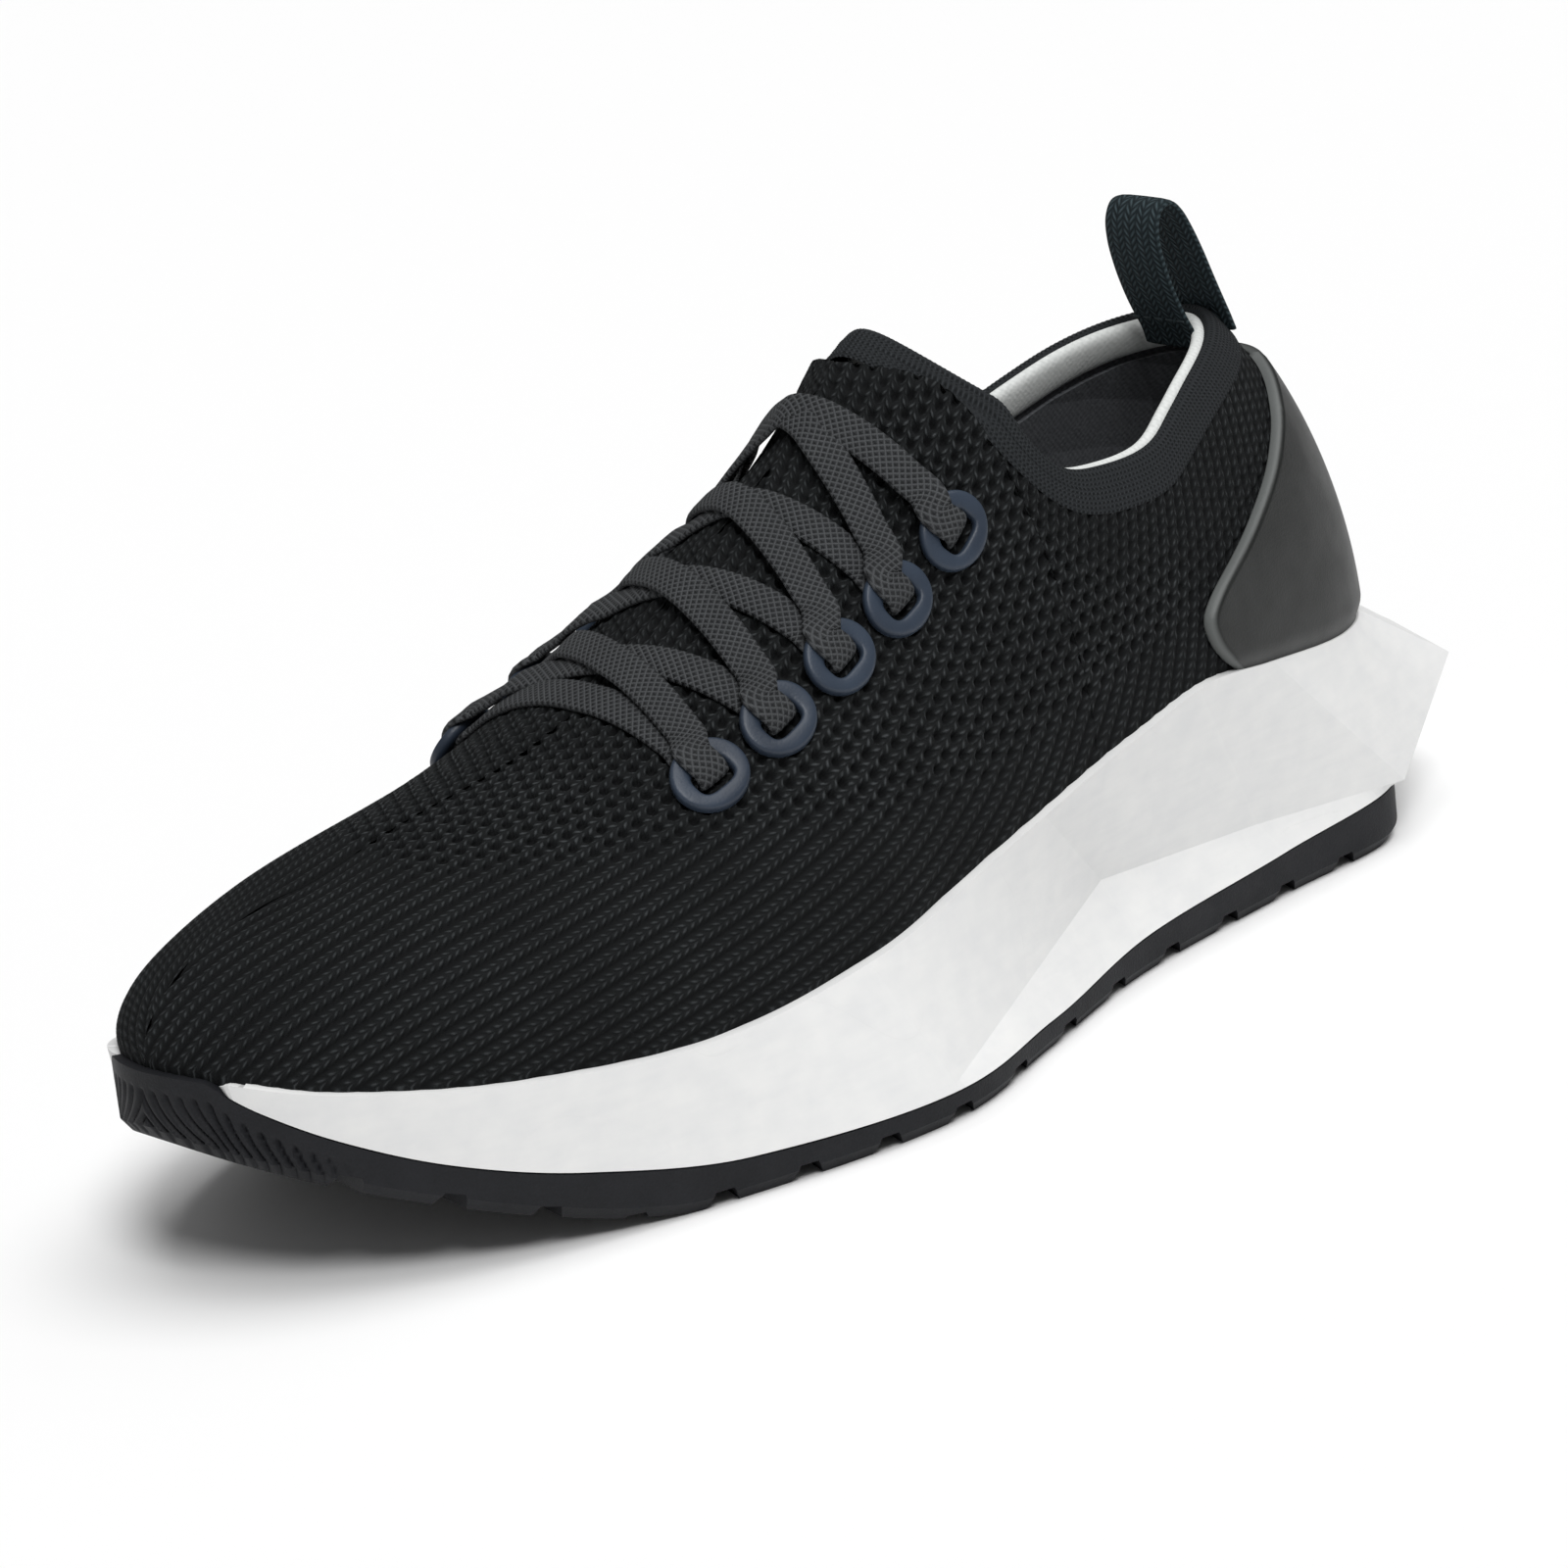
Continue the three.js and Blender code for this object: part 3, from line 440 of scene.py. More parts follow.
@dataclass
class RibFinish(Finish):
    """Fine rib-knitted cuff: the same yarn in narrow upright ribs."""

    name: str = "rib_knitted_cuff"
    dark: str = "#0f1112"
    pale: str = "#404346"
    pitch: float = 0.95  # millimetres from rib to rib
    loop: float = 0.9  # millimetres from loop to loop along a rib

    def dress(self) -> None:
        """Upright ribs with small loops along each."""
        along, across = self.uv("cuff")
        ribs, fibre = along.wave(self.pitch), self.noise(5000, 3)
        height = ribs * 0.22 + across.wave(self.loop) * ribs * 0.3
        self.colours(height * 0.55 + 0.22 + fibre * 0.35, (0.05, self.dark), (0.95, self.pale))
        self.bump(fibre * 0.3 + height, 0.35)


@dataclass
class LiningFinish(Finish):
    """Brushed knit lining: fine, even and soft, with a light fleck."""

    name: str = "brushed_knit_lining"
    dark: str = "#3c3d40"
    pale: str = "#626366"
    scale: float = 1300.0
    wale: float = 0.0011  # metres from wale to wale
    course: float = 0.0013  # metres from course to course

    def dress(self) -> None:
        """Fine upright wales with a soft fleck."""
        x, _, z = self.split(self.place())
        weave = x.wave(self.wale) * z.wave(self.course) * 0.25 + 0.5
        tone = self.noise(self.scale, 5) * 0.6 + weave * 0.4
        self.colours(tone, (0.3, self.dark), (0.75, self.pale))
        self.bump(tone, 0.12)


@dataclass
class BraidFinish(Finish):
    """Flat braided polyester: bundles of yarn that cross at a slant, matte."""

    name: str = "braided_polyester_lace"
    dark: str = "#1d1e20"
    pale: str = "#595b5d"
    bundle: float = 1.05 / 0.72  # millimetres from bundle to bundle, across and along together
    relief: float = 0.28

    def dress(self) -> None:
        """Bundles cross at a slant both ways."""
        across, along = self.uv("weave")
        cross = (across + along).wave(self.bundle).apply("MAXIMUM", (along - across).wave(self.bundle))
        fibre = self.noise(5200, 3)
        tone = (cross * 0.2 + 0.16 + fibre * 0.5) * (self.noise(120, 2) * 0.3 + 0.85)
        self.colours(tone, (0.12, self.dark), (0.9, self.pale))
        self.bump(fibre * 0.25 + cross, self.relief)


@dataclass
class WebbingFinish(Finish):
    """Woven polyester webbing: rows of short picks in columns, with a dull sheen."""

    name: str = "woven_polyester_webbing"
    dark: str = "#161d20"
    pale: str = "#47555a"
    column: float = 1.5  # millimetres from column to column
    pick: float = 1.25  # millimetres from pick to pick

    def dress(self) -> None:
        """Herringbone of picks, about a millimetre each."""
        across, along = self.uv("weave")
        zigzag = along + across.apply("PINGPONG", self.column)
        height = abs(across.wave(2 * self.column)) * (zigzag.wave(self.pick) * 0.5 + 0.5)
        fibre = self.noise(5200, 3)
        self.colours(height * 0.6 + fibre * 0.3, (0.1, self.dark), (0.85, self.pale))
        self.bump(fibre * 0.2 + height, 0.3)


@dataclass
class FoamFinish(Finish):
    """Moulded EVA foam: white, matte, with a faint skin and flow lines from the mould."""

    name: str = "moulded_eva_foam"
    roughness: float = 0.62
    shade: str = "#d9dadb"
    light: str = "#e6e6e5"

    def dress(self) -> None:
        """Faint cloudiness, a fine grain and long shallow flow wrinkles."""
        turned = add_node(self.tree, "ShaderNodeMapping", {0: self.place(), 2: (0, 0.12, 0), 3: (0.14, 0.5, 1.0)})
        flow, cloud = self.noise(620, 4, turned.outputs[0]), self.noise(180, 5)
        patch = flow * self.noise(22, 1).apply("GREATER_THAN", 0.52)
        self.colours(flow * 0.3 + cloud * 0.6, (0.1, self.shade), (0.6, self.light))
        self.bump(self.noise(2600, 3) * 0.1 + (cloud * 0.15 + patch), 0.12, 0.55)
        self.rough(cloud, 0.52, 0.72)


@dataclass
class RubberFinish(Finish):
    """Moulded carbon-black rubber: near-black, dull, with a fine mould grain."""

    specular = 0.25
    name: str = "moulded_rubber_tread"
    dark: str = "#111215"
    pale: str = "#1f2024"

    def dress(self) -> None:
        """Fine grain and slight scuffs."""
        grain = self.noise(2400)
        self.colours(grain * 0.5 + self.noise(90) * 0.5, (0.3, self.dark), (0.75, self.pale))
        self.bump(grain, 0.08)
        self.rough(self.noise(140), 0.5, 0.75)


@dataclass
class FilmFinish(Finish):
    """Moulded TPU film or plastic: satin, with a barely visible grain."""

    specular = 0.35
    name: str = "moulded_tpu_film"
    roughness: float = 0.45
    dark: str = "#141615"
    pale: str = "#1f2120"
    grain: float = 0.05

    def dress(self) -> None:
        """Even colour with a slight cloud and fine mould grain."""
        self.colours(self.noise(70, 3), (0.3, self.dark), (0.75, self.pale))
        self.bump(self.noise(2200, 3), self.grain)
        self.rough(self.noise(160, 3), self.roughness - 0.07, self.roughness + 0.1)


@dataclass
class CounterFinish(FilmFinish):
    """Moulded TPU film, satin and dark, with a paler band along its edge."""

    name: str = "moulded_tpu_heel_counter"
    edge: str = "#606362"

    def dress(self) -> None:
        """Dark field, paler along the edge."""
        super().dress()
        colour = self.shader.inputs["Base Color"]
        links = {0: self.painted("rim"), 6: colour.links[0].from_socket, 7: srgb(self.edge)}
        self.tree.links.new(add_node(self.tree, "ShaderNodeMix", links, data_type="RGBA").outputs[2], colour)


# ---------------------------------------------------------------- the last
@dataclass
class Outline:
    """Closed outline in plan, by turn from 0 at the toe through the outer side, heel and inner side."""

    corners: Sequence[tuple[float, float]]
    steps: int = 120
    table: Array = field(init=False)
    tangent: Array = field(init=False)

    def __post_init__(self) -> None:
        """Samples the curve and its direction."""
        points = catmull(np.array(self.corners), self.steps, closed=True)
        ahead = np.roll(points, -1, 0) - np.roll(points, 1, 0)
        self.table = np.vstack([points, points[0]])
        self.tangent = unit(np.vstack([ahead, ahead[0]]))

    def at(self, turn: Array, inset: Array | float = 0.0) -> Array:
        """Points (x, y) at each turn, moved in by an inset."""
        turn = np.mod(np.asarray(turn, float), 1.0)
        where = turn * (len(self.table) - 1)
        index = np.arange(len(self.table))
        x, y = (np.interp(where, index, self.table[:, k]) for k in (0, 1))
        tx, ty = (np.interp(where, index, self.tangent[:, k]) for k in (0, 1))
        return np.stack([x - ty * inset, y + tx * inset], -1)


@dataclass
class Last:
    """The foot shape that every piece is built on, in millimetres: toe at -X, outer side at -Y."""

    lip: float = 1.8
    toe_round: float = 2.0
    heel_round: float = 1.65
    width_round: float = 1.8
    spine_front: float = -112.0
    spine_back: float = 86.0
    flex_x: float = -82.0
    tongue_x: float = 31.0  # station of the tongue's shoulders, and how far they reach
    tongue_reach: float = 12.0
    tongue_widths: Sequence[float] = (0, 3, 6, 9, 13, 17, 21, 25, 30, 36)
    tongue_rises: Sequence[float] = (0, 0.4, 1.8, 3.9, 6.4, 7.9, 7.4, 5.8, 3.0, 0)
    top: Outline = field(default_factory=lambda: Outline((
        (-146.5, -1), (-139, -20.5), (-118, -35.5), (-80, -46), (-34, -48.3),
        (0, -42.5), (34, -37.3), (80, -32), (114, -22.5), (127, -11.5),
        (132.5, 3), (127, 17.5), (114, 27.5), (80, 34), (34, 35.5),
        (0, 38), (-36, 45.5), (-80, 43.5), (-118, 32), (-139, 17))))
    bottom: Outline = field(default_factory=lambda: Outline((
        (-146.3, -0.8), (-138.2, -20.6), (-115, -36.6), (-78, -48.5), (-25, -56.9),
        (6, -47.5), (40, -36.5), (84, -30.5), (117, -26.5), (127, -14),
        (130, 3), (127, 20), (116, 31), (84, 33), (38, 32.5),
        (4, 38.5), (-29, 49.5), (-78, 46), (-115, 33.8), (-138.2, 17.4))))

    def __post_init__(self) -> None:
        """Sets the height curves along the last."""
        self.sole_top = height_curve(
            (-152, 39.8), (-130, 34.5), (-100, 29.5), (-66, 26.6), (-30, 29.5), (10, 36.2), (45, 43),
            (66, 46.3), (84, 44.2), (112, 40.8), (134, 39.8))
        self.sole_edge = height_curve(
            (-150, 39.3), (-143.2, 38.2), (-141.2, 35.6), (-138.4, 32.8), (-130, 26.9), (-115, 19.4), (-95, 12.8),
            (-66, 7), (-30, 5.6), (10, 5.4), (44, 7.2), (81, 8.4), (118, 10.6), (134, 11.5))
        self.ground = height_curve(
            (-150, 30), (-145, 26), (-135, 20.6), (-117, 12.6), (-100, 6.2), (-86, 2), (-74, 0), (-60, 0),
            (112, 0), (118, 0.6), (134, 4.6))
        self.footbed = height_curve(
            (-150, 33), (-118, 23.6), (-80, 19.4), (-34, 20), (0, 22.4), (34, 26), (80, 28.6),
            (114, 29), (134, 29.6))
        self.ridge = height_curve(
            (-112, 57), (-90, 61), (-65, 64.5), (-50, 69), (-36, 76), (-17, 88), (0, 98.5), (10, 107),
            (18, 112.9), (26, 117.2), (36, 118.4), (60, 117.5), (90, 110))

    def skin(self, turn: Array, up: Array, inset: Array | float = 0.0) -> Array:
        """Points on the upper.

        Args:
            turn: place round the outline, 0 to 1.
            up: climb from the sole (0) to the spine (1).
            inset: depth below the outer face.

        Returns:
            One point per turn and up.
        """
        turn, up, inset = np.broadcast_arrays(*(np.asarray(value, float) for value in (turn, up, inset)))
        edge = self.top.at(turn)
        foot = self.top.at(turn, self.lip + inset)
        other = self.top.at(1 - turn)
        toe, heel = self.top.at(np.zeros(1))[0, 0], self.top.at(np.full(1, 0.5))[0, 0]
        share = ((edge[..., 0] + other[..., 0]) / 2 - toe) / (heel - toe)
        spine_x = self.spine_front + (self.spine_back - self.spine_front) * share
        angle = up * math.pi / 2
        out = np.maximum(np.cos(angle), 0) ** (2 / self.width_round)
        to_heel = 1 - np.abs(2 * np.mod(turn, 1.0) - 1)
        power = self.toe_round + (self.heel_round - self.toe_round) * to_heel**2
        climb = np.maximum(np.sin(angle), 0) ** (2 / power)
        base = self.sole_top(edge[..., 0]) + FIT_GAP
        x = spine_x + (foot[..., 0] - spine_x) * out
        y = foot[..., 1] * out
        shoulder = np.exp(-(((x - self.tongue_x) / self.tongue_reach) ** 2))
        rise = np.interp(np.abs(y), self.tongue_widths, self.tongue_rises) * shoulder
        return np.stack([x, y, base + (self.ridge(spine_x) - inset - base) * climb + rise], -1)

    def normal(self, turn: Array, up: Array) -> Array:
        """Outward unit normals of the upper."""
        step = 0.003
        up = np.clip(up, 0.004, 0.985)
        along = self.skin(turn + step, up) - self.skin(turn - step, up)
        climb = self.skin(turn, up + step) - self.skin(turn, up - step)
        return unit(np.cross(along, climb))

    def frame_at(self, x: float, up: float, side: Side) -> Frame:
        """Place on the upper at x, with its directions.

        Args:
            x: station along the last.
            up: climb from sole to spine.
            side: side of the foot.

        Returns:
            The point, the way down the wall, the way to the heel and the way out.
        """
        turns = side.turns(0.02, 0.48, 2000)
        turn = float(np.interp(x, self.skin(turns, up)[:, 0], turns))
        step = 0.004
        here, low, high, back, ahead = self.skin(
            turn + step * np.array([0, 0, 0, -1, 1]), up + step * np.array([0, -1, 1, 0, 0]))
        fall = low - high
        along = unit(ahead - back)
        along = -along if along[0] < 0 else along
        normal = unit(np.cross(along, fall))
        normal = -normal if normal[2] < 0 else normal
        down = np.cross(normal, along)
        down = -down if down @ fall < 0 else down
        return here, down, along, normal

    def ring(self, outline: Outline, inset: float, height: Height, count: int | Array, crowd: float = 0.0) -> Array:
        """Ring of points round an outline, at heights that follow x.

        Args:
            outline: outline in plan.
            inset: distance in from it.
            height: height at each x.
            count: number of even turns, or the turns themselves.
            crowd: how far the points are packed at the toe, 0 to 1.

        Returns:
            One point per turn.
        """
        turns = np.arange(count) / count if isinstance(count, int) else count
        turns = turns - crowd * np.sin(2 * math.pi * turns) / (2 * math.pi)
        plan = outline.at(turns, inset)
        return np.column_stack([plan, height(outline.at(turns)[:, 0])])


# ---------------------------------------------------------------- collar line
@dataclass
class CollarLine:
    """Edge of the mouth in the side view, and lines a margin below it."""

    last: Last
    knots: Sequence[tuple[float, float]] = (
        (27, 122), (31, 110), (34.5, 98.5), (38, 92.5), (43, 88.6), (52, 87), (66, 87.2),
        (76, 91), (85, 94.6), (97, 98.2), (110, 101), (128, 104))
    turn_front: float = 0.22
    throat: float = 52.0  # station where the edge stops rising to the tongue, and how far it takes
    throat_fade: float = 14.0
    samples: int = 1400

    def __post_init__(self) -> None:
        """Smooths the edge."""
        self.line = catmull(np.array(self.knots, float), 10)

    def height(self, x: Array, margin: float) -> Array:
        """Height of the line at x; there is no edge in front of the throat."""
        forward = np.clip((self.throat - self.line[:, 0]) / self.throat_fade, 0, 1)
        xs = self.line[:, 0] - margin * forward
        zs = self.line[:, 1] - margin * (1 - forward**2)
        order = np.argsort(xs)
        return np.where(x < xs.min(), 1e3, np.interp(x, xs[order], zs[order]))

    def cut(self, turns: Array, margin: float, inset: float = 0.0) -> Array:
        """Highest climb left under the line for each turn, 1 where it isn't cut."""
        ups = np.linspace(0.0, 1.0, 301)
        points = self.last.skin(turns[:, None], ups[None, :], inset)
        over = points[..., 2] - self.height(points[..., 0], margin)
        crossed = over > 0
        first = np.argmax(crossed, axis=1)
        has = crossed.any(axis=1) & (first > 0)
        first = np.maximum(first, 1)
        row = np.arange(len(turns))
        below, above = over[row, first - 1], over[row, first]
        share = np.where(above - below > 500, 1.0, -below / np.maximum(above - below, 1e-9))
        cut = ups[first - 1] + np.clip(share, 0, 1) * (ups[first] - ups[first - 1])
        return np.where(has, cut, 1.0)

    def loop(self, margin: float, count: int) -> tuple[Array, Array]:
        """Points and outward normals evenly round the mouth.

        Args:
            margin: distance below the edge, in millimetres.
            count: points on each side of the foot.

        Returns:
            Points and normals from the throat round the outer side, heel and inner side.
        """
        halves = []
        for side in Side:
            turns = side.turns(self.turn_front, 0.5, self.samples)
            ups = self.cut(turns, margin)
            first = max(int(np.argmax(ups < 0.9999)) - 1, 0)
            turns, ups = turns[first:], ups[first:]
            points, normals = self.last.skin(turns, ups), self.last.normal(turns, ups)
            run = run_length(points)
            even = np.linspace(0, run[-1], count)
            both = np.hstack([points, normals])
            halves.append(np.stack([np.interp(even, run, line) for line in both.T], -1))
        whole = np.vstack([halves[0], halves[1][-2:0:-1]])
        return whole[:, :3], unit(whole[:, 3:])


# ---------------------------------------------------------------- even fields
def solve_field(points: Array, direction: Array, rounds: int = 900) -> Array:
    """Scalar whose steps over a grid of points best follow a direction.

    Args:
        points: grid of points.
        direction: wanted gradient at each.
        rounds: most rounds of the solver.

    Returns:
        The scalar at each point.
    """
    steps = [np.diff(points, axis=k) for k in (0, 1)]
    mean = [(direction[1:] + direction[:-1]) / 2, (direction[:, 1:] + direction[:, :-1]) / 2]
    sizes = [np.linalg.norm(step, axis=-1) + 1e-3 for step in steps]
    wide, tall = (np.pad(size, pad, mode="edge") for size, pad in zip(sizes, (((0, 1), (0, 0)), ((0, 0), (0, 1)))))
    weights = [(tall[1:] + tall[:-1]) / 2 / sizes[0], (wide[:, 1:] + wide[:, :-1]) / 2 / sizes[1]]
    weights = [np.clip(w, 0.02, 50) for w in weights]

    def gather(flows: Sequence[Array], sign: int = -1) -> Array:
        """Sum at each point of the flows that reach it and, by sign, those that leave it."""
        total = np.zeros(points.shape[:2])
        total[1:] += flows[0]
        total[:-1] += sign * flows[0]
        total[:, 1:] += flows[1]
        total[:, :-1] += sign * flows[1]
        return total

    size = gather(weights, 1)
    values = np.zeros(points.shape[:2])
    rest = gather([np.sum(step * d, -1) * w for step, d, w in zip(steps, mean, weights)])
    scaled = rest / size
    way = scaled.copy()
    energy = np.sum(rest * scaled)
    for _ in range(rounds):
        pushed = gather([np.diff(way, axis=k) * weights[k] for k in (0, 1)])
        length = energy / max(np.sum(way * pushed), 1e-12)
        values += length * way
        rest = rest - length * pushed
        scaled = rest / size
        fresh = np.sum(rest * scaled)
        if fresh < 1e-8:
            break
        way = scaled + way * (fresh / energy)
        energy = fresh
    return values


def spread(values: Array, pick_i: Array, pick_j: Array, shape: tuple[int, int]) -> Array:
    """Values on a coarse grid carried to every row and column of the full one."""
    rows = np.stack([np.interp(np.arange(shape[1]), pick_j, line) for line in values])
    return np.stack([np.interp(np.arange(shape[0]), pick_i, rows[:, j]) for j in range(shape[1])], 1)


# ---------------------------------------------------------------- knitted upper
@dataclass
class KnittedUpper:
    """Knit in two halves that meet on the spine: ribs from the toe that turn up towards the collar."""

    last: Last
    collar: CollarLine
    finish: Material
    rib_pitch: float = 2.75
    loop_length: float = 1.7
    rib_relief: float = 0.6
    crown_power: float = 0.75  # below 1 the ribs have flat tops
    groove_width: float = 0.25  # share of a rib's pitch
    hole_pitch: float = 3.5
    hole_depth: float = 0.9
    tuck: float = 1.4  # knit hidden behind the foam rim
    grid: float = 0.5
    top_margin: float = 6.0
    coarse: int = 5  # vertices from point to point of the grid that the ribs are solved on
    # (station, lean of the ribs in degrees)
    leans: Sequence[tuple[float, float]] = (
        (-150, 3), (-100, 6), (-60, 10), (-30, 20), (-5, 36), (20, 52), (48, 67), (78, 78), (104, 84), (133, 89))
    # (station, distance up from the sole at which the holes start)
    hole_floor: Sequence[tuple[float, float]] = (
        (-132, 60), (-112, 40), (-85, 35), (-50, 30), (-20, 18), (5, 12), (60, 10), (90, 14))

    def lean(self, x: Array, up: Array) -> Array:
        """Lean of the ribs above the length of the shoe, in radians; less on the instep."""
        on_spine = smoothstep(up, 0.45, 0.95) * (1 - smoothstep(x, 20, 60))
        return np.radians(np.interp(x, *np.array(self.leans).T)) * (1 - 0.75 * on_spine)

    def half(self, side: Side) -> Piece:
        """Builds the half on one side."""
        turns, x_edge = self.columns(side)
        ups = self.collar.cut(turns, self.top_margin)[:, None] * np.linspace(0, 1, 260)
        climb = run_length(self.last.skin(turns[:, None], ups), 1)
        share = np.linspace(0, 1, int(np.percentile(climb[:, -1], 80) / self.grid))
        up = np.stack([np.interp(share * line[-1], line, line_ups) for line, line_ups in zip(climb, ups)])
        v = share * climb[:, -1:]
        points = self.last.skin(turns[:, None], up)
        normals = self.last.normal(turns[:, None] * np.ones_like(up), up)
        across, along = self.flow(points, normals, up, side)
        relief, hollow_shade = self.relief(across, along, x_edge[:, None], v, climb[:, -1:])
        points = points + normals * relief[..., None]
        points[:, 0] -= normals[:, 0] * 0.2 + np.array([0, 0, self.tuck])
        piece = grid_piece(f"knit_upper_{side.name.lower()}", points, self.finish, flip=side is Side.INNER)
        write_uv(piece, "knit", np.stack([across / self.rib_pitch, along / self.loop_length], -1))
        write_value(piece, "hollow_shade", hollow_shade)
        return piece

    def columns(self, side: Side) -> tuple[Array, Array]:
        """Turns of the columns, closer where the sole's edge or the mouth runs faster."""
        dense = side.turns(0.0, 0.5, 4001)
        edge = self.last.top.at(dense)
        head = self.last.skin(dense, self.collar.cut(dense, self.top_margin))
        steps = [np.linalg.norm(np.diff(line, axis=0), axis=1) for line in (edge, head)]
        run = np.concatenate([[0], np.cumsum(np.maximum(steps[0], 0.75 * steps[1]))])
        grid = self.grid if side is Side.OUTER else self.grid * 1.25
        places = np.linspace(0, run[-1], int(run[-1] / grid))
        return np.interp(places, run, dense), np.interp(places, run, edge[:, 0])

    def flow(self, points: Array, normals: Array, up: Array, side: Side) -> tuple[Array, Array]:
        """Distances across and along the ribs, found so that both stay even over the whole half.

        Args:
            points: grid of points on the upper.
            normals: their normals.
            up: their climb.
            side: side of the foot.

        Returns:
            Distance across the ribs and along them, for each vertex.
        """
        picks = [np.unique(np.linspace(0, size - 1, size // self.coarse).astype(int)) for size in up.shape]
        few, face, climb = (data[np.ix_(*picks)] for data in (points, normals, up))
        ahead = unit(np.array([1.0, 0, 0]) - face * face[..., :1])
        rise = np.cross(face, ahead) * -side.value
        lean = self.lean(few[..., 0], climb)[..., None]
        wanted = (rise * np.cos(lean) - ahead * np.sin(lean), ahead * np.cos(lean) + rise * np.sin(lean))
        return tuple(spread(solve_field(few, direction), *picks, up.shape) for direction in wanted)

    def relief(self, across: Array, along: Array, x: Array, v: Array, height: Array) -> tuple[Array, Array]:
        """Height of the ribs above the knit's middle, and how deep in a groove or hole each vertex is, the mask for
        painted shade.

        Args:
            across: distance across the ribs.
            along: distance along them.
            x: station.
            v: distance up the wall.
            height: whole length of the wall there.

        Returns:
            The relief in millimetres and the mask, from 0 to 1, that darkens the knit's colour in grooves and holes as
            painted shade.
        """
        rib = across / self.rib_pitch
        phase = rib - np.floor(rib)
        crown = np.abs(np.sin(math.pi * phase)) ** self.crown_power
        column = np.round(rib)
        uneven = 0.9 * np.sin(0.31 * along + 1.7 * column) + 0.5 * np.sin(0.83 * along + 2.3 * column)
        beat = np.cos(2 * math.pi * (along / self.hole_pitch + 0.5 * np.mod(column, 2)) + 0.55 * uneven)
        floor = np.interp(x, *np.array(self.hole_floor).T)
        lace_bed = 1 - smoothstep(v, height - 16, height - 7) * smoothstep(x, -62, -48) * 0.6
        mesh_zone = smoothstep(v, floor - 5, floor + 6) * (1 - 0.55 * smoothstep(x, 42, 80)) * lace_bed
        groove = np.exp(-(((phase + 0.5) % 1.0 - 0.5) / self.groove_width) ** 2)
        hole = groove * smoothstep(beat, 0.0, 0.7)
        bridge = groove * smoothstep(-beat, -0.1, 0.6)
        relief = self.rib_relief * (crown - 0.5 + mesh_zone * bridge * 0.7)
        relief -= self.hole_depth * hole * mesh_zone
        fade = smoothstep(v, -0.5, 3.0)
        # Mask of the holes and of the grooves between ribs, painted into the knit's colour as shade
        hollow_shade = np.clip(hole * mesh_zone * 1.2 + 0.8 * groove * (1 - 0.6 * mesh_zone), 0, 1)
        return relief * (0.35 + 0.65 * fade), hollow_shade


